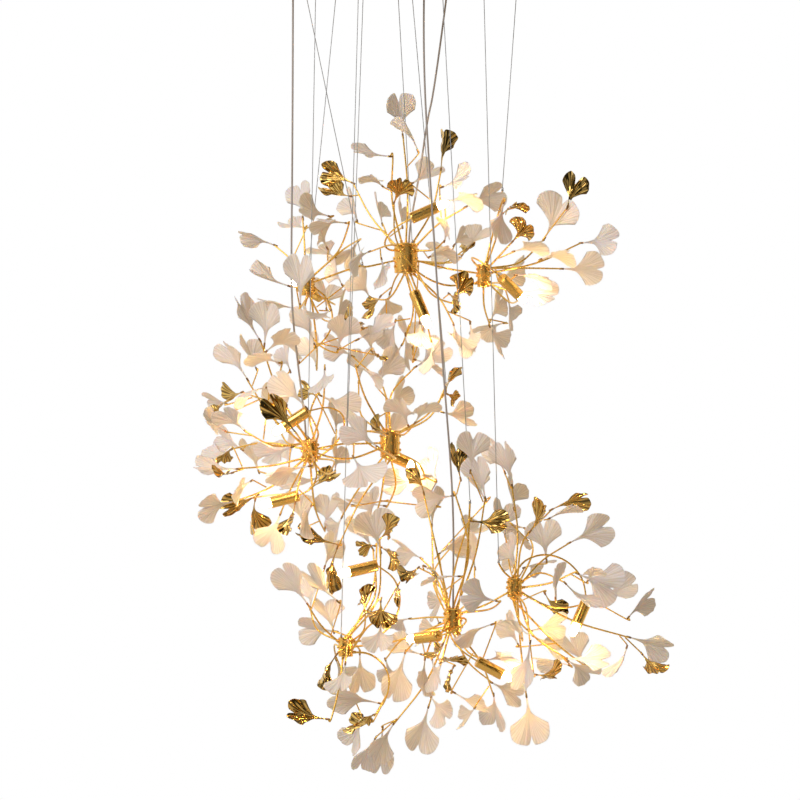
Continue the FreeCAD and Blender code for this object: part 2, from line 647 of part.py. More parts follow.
for i, (tier, x0, x1, d1, carried, hub) in enumerate(WIRES):
    top, low, way = wire_top(i)
    register(balls_along([low + way * 12.0, top], WIRE_R + 0.2), tier, ("wire", i))

for i, (tier, x0, x1, d1, carried, hub) in enumerate(WIRES):
    top, low, way = wire_top(i)
    seat_z = V(0, 0, 1)
    foot = V(low.x, low.y, low.z)
    shoe = prism(ring(foot, seat_z, FERRULE_R, 6), ring(foot + V(0, 0, FERRULE_LENGTH), seat_z, FERRULE_R, 6))
    add(tier + "_wire_ferrules", shoe, tier)
    register([(foot + V(0, 0, 4), 3.4)], tier, ("ferrule", i))
    start = foot + V(0, 0, FERRULE_LENGTH + SEAT_GAP)
    wire = pipe([start, top + way * WIRE_IN_GRIPPER], WIRE_R, 6, start_normal=seat_z)
    add(tier + "_wires", wire, tier, "steel")
    if carried == "hub":
        for seat in seats[hub]:
            if seat[1].z > 0.9 and (seat[0] - foot).Length < FERRULE_R + 3.6:
                seat[2] = True


def flex_path(tier, hub, pts):
    """The flex's route with its corners rounded: straight runs joined by tangent arcs."""
    y = PLANE_Y[tier]
    c = hub_centre(hub)
    offset = 0.0
    route = [V(x, y + offset, drop(d)) for x, d in pts]
    route[0].z = ANCHOR_Z + 6.0
    height = HUBS[hub][5]
    target = V(c.x + (route[-1].x - c.x) * 0.3, c.y + 4.0, c.z + height / 2.0 + 0.1)
    limit = HUBS[hub][4] * 0.5
    target.x = max(c.x - limit, min(c.x + limit, target.x))
    route.append(V(target.x, target.y, target.z + 26.0))
    route.append(target)
    return route


flex_routes = {}
for tier, hub, pts in FLEXES:
    route = flex_path(tier, hub, pts)
    smooth = [route[0]]
    radii = []
    for i in range(1, len(route) - 1):
        before = route[i - 1] - route[i]
        after = route[i + 1] - route[i]
        turn = math.pi - before.getAngle(after)
        if turn < 0.01:
            smooth.append(route[i])
            continue
        cut = 0.45 * min(before.Length, after.Length, 60.0)
        radii.append(cut / math.tan(turn / 2))
        first = route[i] + unit(before) * cut
        second = route[i] + unit(after) * cut
        bend = arc(first, unit(before) * -1.0, second, 6.0 if turn > 0.2 else 12.0)
        smooth += bend
    smooth.append(route[-1])
    clean = [smooth[0]]
    for p in smooth[1:]:
        if (p - clean[-1]).Length > 0.5:
            clean.append(p)
    flex_routes[tier] = clean
    print("flex", tier, "smallest arc radius", round(min(radii), 1), "of diameter", 2 * FLEX_R)
    register(balls_along(clean, FLEX_R, trim_end=2.0), tier, ("flex", tier))
    add(tier + "_flex", pipe(clean, FLEX_R, 6, end_normal=V(0, 0, 1)), tier, "cable")
    for seat in seats[hub]:
        if seat[1].z > 0.9 and (seat[0] - clean[-1]).Length < FLEX_R + 3.4:
            seat[2] = True

# ---- tie rods between hubs and hangers to the wires ----
for a, b, bow in TIES:
    tier = HUBS[a][0]
    ca = hub_centre(a)
    cb = hub_centre(b)
    best = None
    for sa in seats[a]:
        for sb in seats[b]:
            if sa[2] or sb[2] or abs(sa[1].z) > 0.5 or abs(sb[1].z) > 0.5:
                continue
            way = unit(sb[0] - sa[0])
            score = way.dot(sa[1]) - way.dot(sb[1]) - 0.004 * abs(sa[0].z - ca.z) - 0.004 * abs(sb[0].z - cb.z)
            if best is None or score > best[0]:
                best = (score, sa, sb)
    _, sa, sb = best
    t = math.radians(bow * 0.5)
    wired = [w for w in range(len(WIRES)) if WIRES[w][0] == tier and WIRES[w][4] == "tie"]
    inside = [w for w in wired if min(ca.x, cb.x) < WIRES[w][2] < max(ca.x, cb.x)]
    if inside:
        top, low, way = wire_top(inside[0])
        knee = low - V(0, 0, ROD_R + SEAT_GAP)
        path = [sa[0], knee - V(10, 0, 0), knee + V(10, 0, 0), sb[0]]
    else:
        chord = unit(sb[0] - sa[0])
        way = V(chord.x * math.cos(t) - chord.z * math.sin(t), chord.y, chord.x * math.sin(t) + chord.z * math.cos(t))
        path = arc(sa[0], unit(way), sb[0], 15.0)
    sa[2] = True
    sb[2] = True
    add(tier + "_tie_rods", pipe(path, ROD_R + 0.2, 6, start_normal=sa[1], end_normal=sb[1]), tier)
    register(balls_along(path, ROD_R + 0.4, trim_start=6.0, trim_end=6.0), tier, ("tie", a, b))

for index, (tier, x0, x1, d1, carried, hub) in enumerate(WIRES):
    if carried != "hanger":
        continue
    top, low, way = wire_top(index)
    end = low - V(0, 0, SEAT_GAP)
    found = None
    for most in (34.0, 16.0, 2.0):
        for seat, path, balls in choose_seat(hub, end, V(0, 0, 1), None, tier, ROD_R, (("ferrule", index),), 40, most):
            found = (seat, path, balls)
            break
        if found:
            break
    if found is None:
        trouble.append("hanger %d" % index)
        continue
    seat, path, balls = found
    seat[2] = True
    add(tier + "_tie_rods", pipe(path, ROD_R + 0.2, 6, start_normal=seat[1], end_normal=V(0, 0, 1)), tier)
    register(balls, tier, ("hanger", index))

# ---- lampholders and their bulbs ----
lamp_frames = []
for i, (hub, bx, bd, mx, md, front, toward) in enumerate(LAMPS):
    tier = HUBS[hub][0]
    nominal = depth_of(hub, bx, bd, front)
    done = False
    for shift in shift_steps(120.0, 6.0):
        back = V(bx, nominal + shift, drop(bd))
        axis = unit(V(mx - bx, -toward, -(md - bd)))
        body = balls_along([back + axis * 6.0, back + axis * (HOLDER_LENGTH + 46.0)], HOLDER_R + 1.0)
        if not free(body, tier):
            continue
        for seat, path, balls in choose_seat(hub, back, axis, None, tier, ROD_R, (), 14, 82.0):
            if unit(path[-1] - path[-2]).dot(axis) < 0.5:
                continue
            seat[2] = True
            lamp_frames.append((tier, back, axis))
            add(hub + "_branches", pipe(path, ROD_R + 0.2, ROD_SIDES, start_normal=seat[1], end_normal=axis), tier)
            register(body, tier, ("lamp", i))
            register(balls, tier, ("lamp rod", i))
            done = True
            break
        if done:
            break
    if not done:
        trouble.append("lamp %d %s" % (i, hub))

for i, (tier, back, axis) in enumerate(lamp_frames):
    foot = back + axis * SEAT_GAP
    mouth = foot + axis * HOLDER_LENGTH
    floor = mouth - axis * SOCKET_DEPTH
    outer = [ring(foot, axis, HOLDER_R, HOLDER_SIDES), ring(mouth, axis, HOLDER_R, HOLDER_SIDES)]
    inner = [ring(floor, axis, SOCKET_R, HOLDER_SIDES), ring(mouth, axis, SOCKET_R, HOLDER_SIDES)]
    faces = [list(reversed(outer[0])), inner[0]]
    for k in range(HOLDER_SIDES):
        n = (k + 1) % HOLDER_SIDES
        faces.append([outer[0][k], outer[0][n], outer[1][n], outer[1][k]])
        faces.append([inner[0][n], inner[0][k], inner[1][k], inner[1][n]])
        faces.append([outer[1][k], outer[1][n], inner[1][n], inner[1][k]])
    add(tier + "_lampholders", solid_from(faces), tier)
    seat = floor + axis * 0.3
    chain = [(seat, BULB_R * 0.62), (seat + axis * 14.0, BULB_R * 0.62), (seat + axis * 16.0, BULB_R * 0.97),
             (seat + axis * (BULB_LENGTH - 7.0), BULB_R * 0.97), (seat + axis * BULB_LENGTH, BULB_R * 0.4)]
    rings = [ring(p, axis, r, 7) for p, r in chain]
    faces = [list(reversed(rings[0])), rings[-1]]
    for a, b in zip(rings, rings[1:]):
        for k in range(7):
            n = (k + 1) % 7
            faces.append([a[k], a[n], b[n], b[k]])
    add("bulb_%02d" % (i + 1), solid_from(faces), tier, "glass")
    print("bulb", i + 1, tier, [round(v, 2) for v in (seat.x, seat.y, seat.z)],
          "axis", [round(v, 5) for v in (axis.x, axis.y, axis.z)])

# ---- branches with their leaves ----
number = 0
for hub, rods in SPRAYS.items():
    tier = HUBS[hub][0]
    for r, (front, bow, leaves) in enumerate(rods):
        number += 1
        kind, bx, bd, tx, td, wide, nudge = leaves[0]
        nominal = depth_of(hub, bx, bd, front) + nudge
        chosen = None
        for shift in shift_steps(150.0, 7.0):
            frame = leaf_frame(kind, bx, bd, tx, td, wide, number, front, nominal + shift)
            body = leaf_balls(frame, number, kind)
            if not free(body, tier):
                continue
            leaf = leaf_solid(frame, number, kind)
            outward = unit(frame[0] - hub_centre(hub)).dot(frame[1]) > -0.3
            most = 34.0 if outward else 72.0
            for seat, path, balls in choose_seat(hub, frame[0], frame[1], bow, tier, ROD_R, (), 12, most):
                if unit(path[-1] - path[-2]).dot(frame[1]) < -0.4:
                    continue
                path = meet_leaf(path, frame[1])
                rod = pipe(path, ROD_R, ROD_SIDES, start_normal=seat[1], end_normal=frame[1])
                if fits([rod, leaf], tier):
                    chosen = (frame, body, seat, path, balls, rod, leaf)
                    break
            if chosen:
                break
        if not chosen:
            trouble.append("rod %s %d" % (hub, r))
            continue
        frame, body, seat, path, balls, rod, leaf = chosen
        seat[2] = True
        add(hub + "_branches", rod, tier)
        leaf_node = hub + "_porcelain_leaves" if kind == "porcelain" else tier + "_gilt_leaves"
        stuff = "porcelain" if kind == "porcelain" else "brass"
        add(leaf_node, leaf, tier, stuff)
        register(body, tier, ("leaf", number))
        register(balls, tier, ("rod", hub, r))
        spots = balls_along(path, 1.0, step=5.0, trim_start=16.0, trim_end=7.0)
        ways = []
        for s in range(len(spots)):
            a = spots[max(0, s - 1)][0]
            b = spots[min(len(spots) - 1, s + 1)][0]
            ways.append(unit(b - a) if (b - a).Length > 0.1 else frame[1])
        used = []
        for side_leaf in leaves[1:]:
            number += 1
            kind, bx, bd, tx, td, wide, nudge = side_leaf
            nominal = depth_of(hub, bx, bd, front) + nudge
            near = min(spots, key=lambda b: math.hypot(b[0].x - bx, b[0].z - drop(bd)))[0].y
            nominal = 0.5 * nominal + 0.5 * near
            chosen = None
            for shift in shift_steps(120.0, 7.0):
                frame = leaf_frame(kind, bx, bd, tx, td, wide, number, front, nominal + shift)
                body = leaf_balls(frame, number, kind)
                if not free(body, tier):
                    continue
                ranked = []
                for s, (spot, _) in enumerate(spots):
                    if any(abs(s - u) < 2 for u in used):
                        continue
                    span = frame[0] - spot
                    if span.Length < 12.0:
                        continue
                    t = unit(span)
                    kink = math.degrees(math.acos(max(-1.0, min(1.0, t.dot(frame[1])))))
                    alpha = math.degrees(math.acos(max(-1.0, min(1.0, t.dot(ways[s])))))
                    if alpha < 14.0 or alpha > 150.0 or kink > 135.0:
                        continue
                    ranked.append((span.Length + 0.9 * max(0.0, kink - 25) + 0.5 * max(0.0, alpha - 70), s, kink, alpha))
                ranked.sort()
                for score, s, kink, alpha in ranked[:6]:
                    spot = spots[s][0]
                    t = unit(frame[0] - spot)
                    sin_a = math.sin(math.radians(alpha))
                    lift = (ROD_R + 0.12 + TWIG_R * abs(math.cos(math.radians(alpha)))) / sin_a
                    start = spot + t * lift
                    if (frame[0] - start).Length < 6.0:
                        continue
                    way = [start, frame[0]]
                    twig_balls = balls_along(way, TWIG_R, trim_start=6.0, trim_end=5.0)
                    if not free(twig_balls, tier, skip=(("rod", hub, r),)):
                        continue
                    way = meet_leaf(way, frame[1])
                    twig = pipe(way, TWIG_R, TWIG_SIDES, end_normal=frame[1])
                    leaf = leaf_solid(frame, number, kind)
                    if not fits([twig, leaf], tier):
                        continue
                    for attempt in range(4):
                        gap = twig.distToShape(rod)[0]
                        if gap < 0.4:
                            break
                        start = start - t * (gap - TWIG_GAP)
                        nearer = pipe(meet_leaf([start, frame[0]], frame[1]), TWIG_R, TWIG_SIDES, end_normal=frame[1])
                        if not fits([nearer, leaf], tier):
                            break
                        twig = nearer
                    chosen = (body, twig, leaf, twig_balls, s)
                    break
                if chosen:
                    break
            if not chosen:
                trouble.append("leaf %s %d at %d %d" % (hub, r, bx, bd))
                continue
            body, twig, leaf, twig_balls, s = chosen
            used.append(s)
            add(hub + "_branches", twig, tier)
            leaf_node = hub + "_porcelain_leaves" if kind == "porcelain" else tier + "_gilt_leaves"
            stuff = "porcelain" if kind == "porcelain" else "brass"
            add(leaf_node, leaf, tier, stuff)
            register(body, tier, ("leaf", number))
            register(twig_balls, tier, ("twig", number))

# ---- ceiling canopy ----
def upright(x, y, low, high, radius, sides):
    """An upright prism between two levels."""
    return prism(ring(V(x, y, low), V(0, 0, 1), radius, sides), ring(V(x, y, high), V(0, 0, 1), radius, sides))


pan = upright(0, 0, -PAN_DEPTH, 0, PAN_R, 36)
pan = pan.cut(upright(0, 0, -PAN_DEPTH + PAN_WALL, 2, PAN_R - PAN_WALL, 36))
for sx in (-STUD_X, STUD_X):
    pan = pan.cut(upright(sx, 0, -PAN_DEPTH - 2, -PAN_DEPTH + 5, STUD_R + 0.5, 8))
for tier in flex_routes:
    p = flex_routes[tier][0]
    pan = pan.cut(upright(p.x, p.y, -PAN_DEPTH - 2, -PAN_DEPTH + 5, GLAND_HOLE_R, 8))
add("canopy_pan", pan)

plate = Part.makeBox(PLATE_X, PLATE_Y, PLATE_T, V(-PLATE_X / 2, -PLATE_Y / 2, -PLATE_T))
for sx in (-1, 1):
    for sy in (-1, 1):
        hole = Part.makeCylinder(PLATE_HOLE_R, 9.0, V(sx * PLATE_HOLE_X / 2, sy * PLATE_HOLE_Y / 2, -6))
        plate = plate.cut(hole)
    plate = plate.cut(upright(sx * STUD_X, 0, -6, 3, STUD_R + 0.2, 8))
plate = plate.cut(Part.makeCylinder(CABLE_HOLE_R, 9.0, V(0, 0, -6)))
add("ceiling_plate", plate)

STUD_END = -PAN_DEPTH - 5.0
for sx in (-STUD_X, STUD_X):
    add("canopy_studs", upright(sx, 0, STUD_END, 0, STUD_R, 8))
    ring_low = ring(V(sx, 0, -PAN_DEPTH - SEAT_GAP), V(0, 0, -1), 5.2, 6)
    ring_end = ring(V(sx, 0, -PAN_DEPTH - 6.0), V(0, 0, -1), 5.2, 6)
    nut = prism(ring_low, ring_end)
    dome = prism(ring(V(sx, 0, -PAN_DEPTH - 6.0), V(0, 0, -1), 4.4, 8),
                 ring(V(sx, 0, -PAN_DEPTH - 10.0), V(0, 0, -1), 2.2, 8))
    nut = nut.fuse(dome)
    nut = nut.cut(upright(sx, 0, STUD_END - 0.3, -PAN_DEPTH + 1, STUD_R + 0.15, 8))
    add("canopy_cap_nuts", nut)

for i, (tier, x0, x1, d1, carried, hub) in enumerate(WIRES):
    top, low, way = wire_top(i)
    down = V(0, 0, -1)
    mouth = V(top.x, top.y, ANCHOR_Z)
    ceiling = V(top.x, top.y, -PAN_DEPTH - SEAT_GAP)
    deep = ring(mouth + way * GRIP_DEPTH, way * -1.0, GRIP_BORE, 6)
    outer = [ring(ceiling, down, GRIP_R, 6), ring(mouth, down, GRIP_R, 6)]
    inner = [deep, onto_plane(deep, way, mouth, down)]
    faces = [list(reversed(outer[0])), inner[0]]
    for k in range(6):
        n = (k + 1) % 6
        faces.append([outer[0][k], outer[0][n], outer[1][n], outer[1][k]])
        faces.append([inner[0][n], inner[0][k], inner[1][k], inner[1][n]])
        faces.append([outer[1][k], outer[1][n], inner[1][n], inner[1][k]])
    add("wire_grippers", solid_from(faces))

for tier in flex_routes:
    p = flex_routes[tier][0]
    down = V(0, 0, -1)
    high = V(p.x, p.y, -PAN_DEPTH - SEAT_GAP)
    low = V(p.x, p.y, ANCHOR_Z - 2.0)
    outer = [ring(high, down, 8.0, 8), ring(low, down, 8.0, 8)]
    inner = [ring(high, down, 3.6, 8), ring(low, down, 3.6, 8)]
    faces = []
    for k in range(8):
        n = (k + 1) % 8
        faces.append([outer[0][k], outer[0][n], outer[1][n], outer[1][k]])
        faces.append([inner[0][n], inner[0][k], inner[1][k], inner[1][n]])
        faces.append([outer[1][k], outer[1][n], inner[1][n], inner[1][k]])
        faces.append([inner[0][k], inner[0][n], outer[0][n], outer[0][k]])
    add("cable_glands", solid_from(faces))

block = Part.makeBox(34, 20, 15, V(30, 24, -PLATE_T - SEAT_GAP - 15))
for k in range(3):
    block = block.cut(Part.makeBox(7, 22, 6, V(32.5 + 11 * k, 23, -PLATE_T - 12)))
add("terminal_block", block)
earth = prism(ring(V(-60, 30, -PLATE_T - SEAT_GAP), V(0, 0, -1), 4.6, 6),
              ring(V(-60, 30, -PLATE_T - 9.0), V(0, 0, -1), 4.6, 6))
add("earth_nut", earth)

for tier in mass:
    m, mx, my, mz = mass[tier]
    print(tier, "mass", round(m, 2), "centre x", round(mx / m, 1), "y", round(my / m, 1), "z", round(mz / m, 1),
          "wires at y", PLANE_Y[tier])
print("leaves asked for", number, "trouble", len(trouble), trouble)

os.makedirs("parts", exist_ok=True)
for node, shapes in nodes.items():
    shape = shapes[0] if len(shapes) == 1 else Part.makeCompound(shapes)
    shape.exportStep("parts/" + node + ".step")
print("nodes", len(nodes), sum(len(s) for s in nodes.values()), "solids")
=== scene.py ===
import bpy
import json
import math
import numpy as np
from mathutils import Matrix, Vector

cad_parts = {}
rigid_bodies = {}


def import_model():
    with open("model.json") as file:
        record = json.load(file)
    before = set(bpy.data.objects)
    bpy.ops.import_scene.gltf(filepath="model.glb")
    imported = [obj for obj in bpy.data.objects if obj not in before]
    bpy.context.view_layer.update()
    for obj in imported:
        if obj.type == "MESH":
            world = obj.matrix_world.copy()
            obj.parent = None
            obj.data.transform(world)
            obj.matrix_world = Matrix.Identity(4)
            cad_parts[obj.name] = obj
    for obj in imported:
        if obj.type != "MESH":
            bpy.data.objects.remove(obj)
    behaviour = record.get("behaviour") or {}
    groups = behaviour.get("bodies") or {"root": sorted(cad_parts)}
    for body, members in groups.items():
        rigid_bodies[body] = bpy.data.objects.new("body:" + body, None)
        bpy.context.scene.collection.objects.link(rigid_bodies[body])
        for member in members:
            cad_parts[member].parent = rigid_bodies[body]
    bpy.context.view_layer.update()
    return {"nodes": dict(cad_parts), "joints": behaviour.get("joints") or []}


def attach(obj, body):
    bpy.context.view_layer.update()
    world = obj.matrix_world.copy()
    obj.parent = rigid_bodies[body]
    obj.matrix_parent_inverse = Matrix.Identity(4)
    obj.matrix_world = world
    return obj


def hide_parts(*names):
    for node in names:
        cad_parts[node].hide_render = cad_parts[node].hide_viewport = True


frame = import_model()

# ---- viewpoint and electric flexes ----
# The lamp is photographed level, from far off, with a long lens. Three grey flexes, one to each tier,
# run beside the wires from a gland under the ceiling pan down to one of the tier's hubs.
camera_data = bpy.data.cameras.new("long_lens")
camera_data.lens = 360.0
camera_data.sensor_width = 36.0
camera_data.clip_end = 100.0
camera = bpy.data.objects.new("camera", camera_data)
camera.location = (0.0, -16.0, -0.860)
camera.rotation_euler = (math.radians(90.0), 0.0, 0.0)
bpy.context.scene.collection.objects.link(camera)
bpy.context.scene.camera = camera


def plain_material(name, colour, rough, metal=0.0):
    """A material with its main shader, its colour, roughness and metal set."""
    made = bpy.data.materials.new(name)
    made.use_nodes = True
    shader = made.node_tree.nodes["Principled BSDF"]
    shader.inputs["Base Color"].default_value = (*colour, 1.0)
    shader.inputs["Roughness"].default_value = rough
    shader.inputs["Metallic"].default_value = metal
    return made, made.node_tree, shader


def handling_marks():
    """Shared effect: soft blotches and fine marks that break up a finish."""
    group = bpy.data.node_groups.new("handling marks", "ShaderNodeTree")
    for name, kind, value in (("Scale", "NodeSocketFloat", 60.0), ("Low", "NodeSocketFloat", 0.2),
                              ("High", "NodeSocketFloat", 0.4), ("Depth", "NodeSocketFloat", 0.0005)):
        socket = group.interface.new_socket(name, in_out="INPUT", socket_type=kind)
        socket.default_value = value
    group.interface.new_socket("Roughness", in_out="OUTPUT", socket_type="NodeSocketFloat")
    group.interface.new_socket("Mask", in_out="OUTPUT", socket_type="NodeSocketFloat")
    group.interface.new_socket("Normal", in_out="OUTPUT", socket_type="NodeSocketVector")
    n, link = group.nodes, group.links.new
    given, put = n.new("NodeGroupInput"), n.new("NodeGroupOutput")
    place = n.new("ShaderNodeTexCoord")
    blotch, fine = n.new("ShaderNodeTexNoise"), n.new("ShaderNodeTexNoise")
    blotch.inputs["Detail"].default_value = 3.0
    fine.inputs["Detail"].default_value = 5.0
    bigger = n.new("ShaderNodeMath")
    bigger.operation = "MULTIPLY"
    bigger.inputs[1].default_value = 9.0
    reach = n.new("ShaderNodeMapRange")
    bump = n.new("ShaderNodeBump")
    bump.inputs["Strength"].default_value = 0.6
    link(place.outputs["Object"], blotch.inputs["Vector"])
    link(place.outputs["Object"], fine.inputs["Vector"])
    link(given.outputs["Scale"], blotch.inputs["Scale"])
    link(given.outputs["Scale"], bigger.inputs[0])
    link(bigger.outputs[0], fine.inputs["Scale"])
    link(blotch.outputs["Fac"], reach.inputs["Value"])
    reach.inputs["From Min"].default_value = 0.3
    reach.inputs["From Max"].default_value = 0.7
    link(given.outputs["Low"], reach.inputs["To Min"])
    link(given.outputs["High"], reach.inputs["To Max"])
    link(given.outputs["Depth"], bump.inputs["Distance"])
    link(fine.outputs["Fac"], bump.inputs["Height"])
    link(reach.outputs["Result"], put.inputs["Roughness"])
    link(blotch.outputs["Fac"], put.inputs["Mask"])
    link(bump.outputs["Normal"], put.inputs["Normal"])
    return group


marks = handling_marks()


def marked_material(name, colour, dull, bright, metal, scale, depth, other=None):
    """A finish whose colour and roughness wander a little between two values."""
    made, tree, shader = plain_material(name, colour, bright, metal)
    effect = tree.nodes.new("ShaderNodeGroup")
    effect.node_tree = marks
    effect.inputs["Scale"].default_value = scale
    effect.inputs["Low"].default_value = bright
    effect.inputs["High"].default_value = dull
    effect.inputs["Depth"].default_value = depth
    tree.links.new(effect.outputs["Roughness"], shader.inputs["Roughness"])
    tree.links.new(effect.outputs["Normal"], shader.inputs["Normal"])
    mix = tree.nodes.new("ShaderNodeMix")
    mix.data_type = "RGBA"
    mix.inputs["A"].default_value = (*colour, 1.0)
    mix.inputs["B"].default_value = (*(other or [c * 0.86 for c in colour]), 1.0)
    tree.links.new(effect.outputs["Mask"], mix.inputs["Factor"])
    tree.links.new(mix.outputs["Result"], shader.inputs["Base Color"])
    return made


flex_sheath = marked_material("grey flex sheath", (0.40, 0.36, 0.33), 0.62, 0.45, 0.0, 300.0, 0.0002)
flex_routes = {
    "upper": [(0.094, 0.085, -0.046), (0.070, 0.085, -0.232), (0.054, 0.085, -0.302),
              (0.044, 0.085, -0.376), (0.033, 0.085, -0.440), (0.0183, 0.091, -0.5189),
              (0.0183, 0.091, -0.5449)],
    "middle": [(-0.214, 0.0, -0.046), (-0.215, 0.0, -0.360), (-0.218, 0.0, -0.620),
               (-0.213, 0.0, -0.720), (-0.188, 0.004, -0.9139), (-0.188, 0.004, -0.9399)],
    "lower": [(0.048, -0.095, -0.046), (0.045, -0.095, -0.186), (0.062, -0.095, -0.456),
              (0.084, -0.095, -0.780), (0.107, -0.095, -1.060), (0.1056, -0.091, -1.2489),
              (0.1056, -0.091, -1.2749)],
}
for tier, route in flex_routes.items():
    line = bpy.data.curves.new(tier + "_flex_line", "CURVE")
    line.dimensions = "3D"
    line.bevel_depth = 0.002
    line.bevel_resolution = 3
    line.resolution_u = 24
    line.use_fill_caps = True
    spline = line.splines.new("NURBS")
    spline.points.add(len(route) - 1)
    for point, place in zip(spline.points, route):
        point.co = (*place, 1.0)
    spline.order_u = 3
    spline.use_endpoint_u = True
    flex = bpy.data.objects.new(tier + "_flex_sheath", line)
    line.materials.append(flex_sheath)
    bpy.context.scene.collection.objects.link(flex)
    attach(flex, tier + "_tier")
    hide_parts(tier + "_flex")

# ---- ceiling pan and what is fixed in it ----
# A round steel pan, spun in one piece and enamelled white, hides the ceiling plate, its two studs and
# the wiring. Cap nuts hold it. Under it are the nickel grippers of the wires and the glands of the flexes.
enamel = marked_material("white enamel", (0.80, 0.80, 0.79), 0.42, 0.28, 0.0, 25.0, 0.0003)
nickel = marked_material("nickel plate", (0.62, 0.60, 0.57), 0.30, 0.16, 1.0, 90.0, 0.0001)
zinc = marked_material("zinc plate", (0.50, 0.51, 0.53), 0.55, 0.35, 1.0, 40.0, 0.0004)
moulded = marked_material("white moulding", (0.70, 0.70, 0.68), 0.55, 0.42, 0.0, 200.0, 0.0001)
up = (0.0, 0.0, 1.0)
sharp_over = math.radians(32.0)


def finish_piece(name, verts, faces, material, body, slot, nodes=(), corner=sharp_over, uv=None,
                 tint=None):
    """A mesh piece at the origin, riding on a body and standing for some CAD nodes."""
    mesh = bpy.data.meshes.new(name)
    mesh.from_pydata(verts, [], faces)
    mesh.materials.append(material)
    mesh.polygons.foreach_set("use_smooth", [True] * len(mesh.polygons))
    if corner is not None:
        mesh.set_sharp_from_angle(angle=corner)
    if uv is not None:
        layer = mesh.uv_layers.new(name="own_map")
        loops = np.empty(len(mesh.loops), dtype=np.int32)
        mesh.loops.foreach_get("vertex_index", loops)
        layer.data.foreach_set("uv", np.asarray(uv, dtype=np.float32)[loops].ravel())
    if tint is not None:
        mesh.attributes.new("tint", "FLOAT", "POINT").data.foreach_set("value", tint)
    mesh.update()
    piece = bpy.data.objects.new(name, mesh)
    bpy.context.scene.collection.objects.link(piece)
    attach(piece, body)
    if nodes:
        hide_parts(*nodes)
    return piece


def turned(profile, origin, axis, sides, close=True):
    """Corners and faces of a shape turned about an axis, from (distance along, radius) pairs."""
    axis = Vector(axis).normalized()
    side = axis.orthogonal().normalized()
    other = axis.cross(side)
    verts, faces = [], []
    for along, radius in profile:
        for k in range(sides):
            t = 2 * math.pi * k / sides
            outward = side * math.cos(t) + other * math.sin(t)
            verts.append(Vector(origin) + axis * along + outward * radius)
    for i in range(len(profile) - 1):
        for k in range(sides):
            n = (k + 1) % sides
            faces.append((i * sides + k, i * sides + n, (i + 1) * sides + n, (i + 1) * sides + k))
    if close:
        faces.append(tuple(reversed(range(sides))))
        last = (len(profile) - 1) * sides
        faces.append(tuple(last + k for k in range(sides)))
    return verts, faces


def gather(made, verts, faces):
    """Adds one shape's corners and faces to a growing pair of lists."""
    start = len(made[0])
    made[0].extend(verts)
    made[1].extend([tuple(start + i for i in face) for face in faces])


pan_profile = [(-0.0384, 0.004), (-0.0384, 0.262), (-0.0374, 0.2664), (-0.034, 0.2684), (0.0, 0.2684),
               (0.0, 0.270), (-0.034, 0.270), (-0.0385, 0.2675), (-0.040, 0.262), (-0.040, 0.004)]
pan_sides = 96
last_ring = (len(pan_profile) - 1) * pan_sides
pan = ([], [])
shape, skin = turned(pan_profile, (0, 0, 0), up, pan_sides, close=False)
closing = [(last_ring + k, last_ring + (k + 1) % pan_sides, (k + 1) % pan_sides, k)
           for k in range(pan_sides)]
gather(pan, shape, skin + closing)
gather(pan, *turned([(-0.0400, 0.004), (-0.0384, 0.004)], (0, 0, 0), up, pan_sides))
finish_piece("canopy_pan_spun", *pan, enamel, "canopy", "white_enamel", ["canopy_pan"])
for name, material in (("ceiling_plate", zinc), ("canopy_studs", zinc), ("earth_nut", zinc),
                       ("terminal_block", moulded), ("cable_glands", moulded)):
    piece = frame["nodes"][name]
    piece.data.materials.clear()
    piece.data.materials.append(material)


def solids_of(name):
    """Each solid of a CAD node, as its corners and the triangles between them."""
    mesh = frame["nodes"][name].data
    points = np.empty(len(mesh.vertices) * 3)
    mesh.vertices.foreach_get("co", points)
    points = points.reshape(-1, 3)
    mesh.calc_loop_triangles()
    corners = np.empty(len(mesh.loop_triangles) * 3, dtype=np.int64)
    mesh.loop_triangles.foreach_get("vertices", corners)
    keys = {}
    merged = np.empty(len(points), dtype=np.int64)
    for i, p in enumerate(points):
        merged[i] = keys.setdefault((round(p[0], 6), round(p[1], 6), round(p[2], 6)), len(keys))
    places = np.array(list(keys), dtype=float)
    triangles = merged[corners].reshape(-1, 3)
    parent = list(range(len(places)))

    def root(i):
        while parent[i] != i:
            parent[i] = parent[parent[i]]
            i = parent[i]
        return i

    for a, b, c in triangles:
        parent[root(a)] = root(b)
        parent[root(b)] = root(c)
    groups = {}
    for i in range(len(places)):
        groups.setdefault(root(i), []).append(i)
    found = []
    for members in groups.values():
        local = {m: k for k, m in enumerate(members)}
        tris = [tuple(local[m] for m in t) for t in triangles if t[0] in local]
        found.append((places[members], tris))
    return found


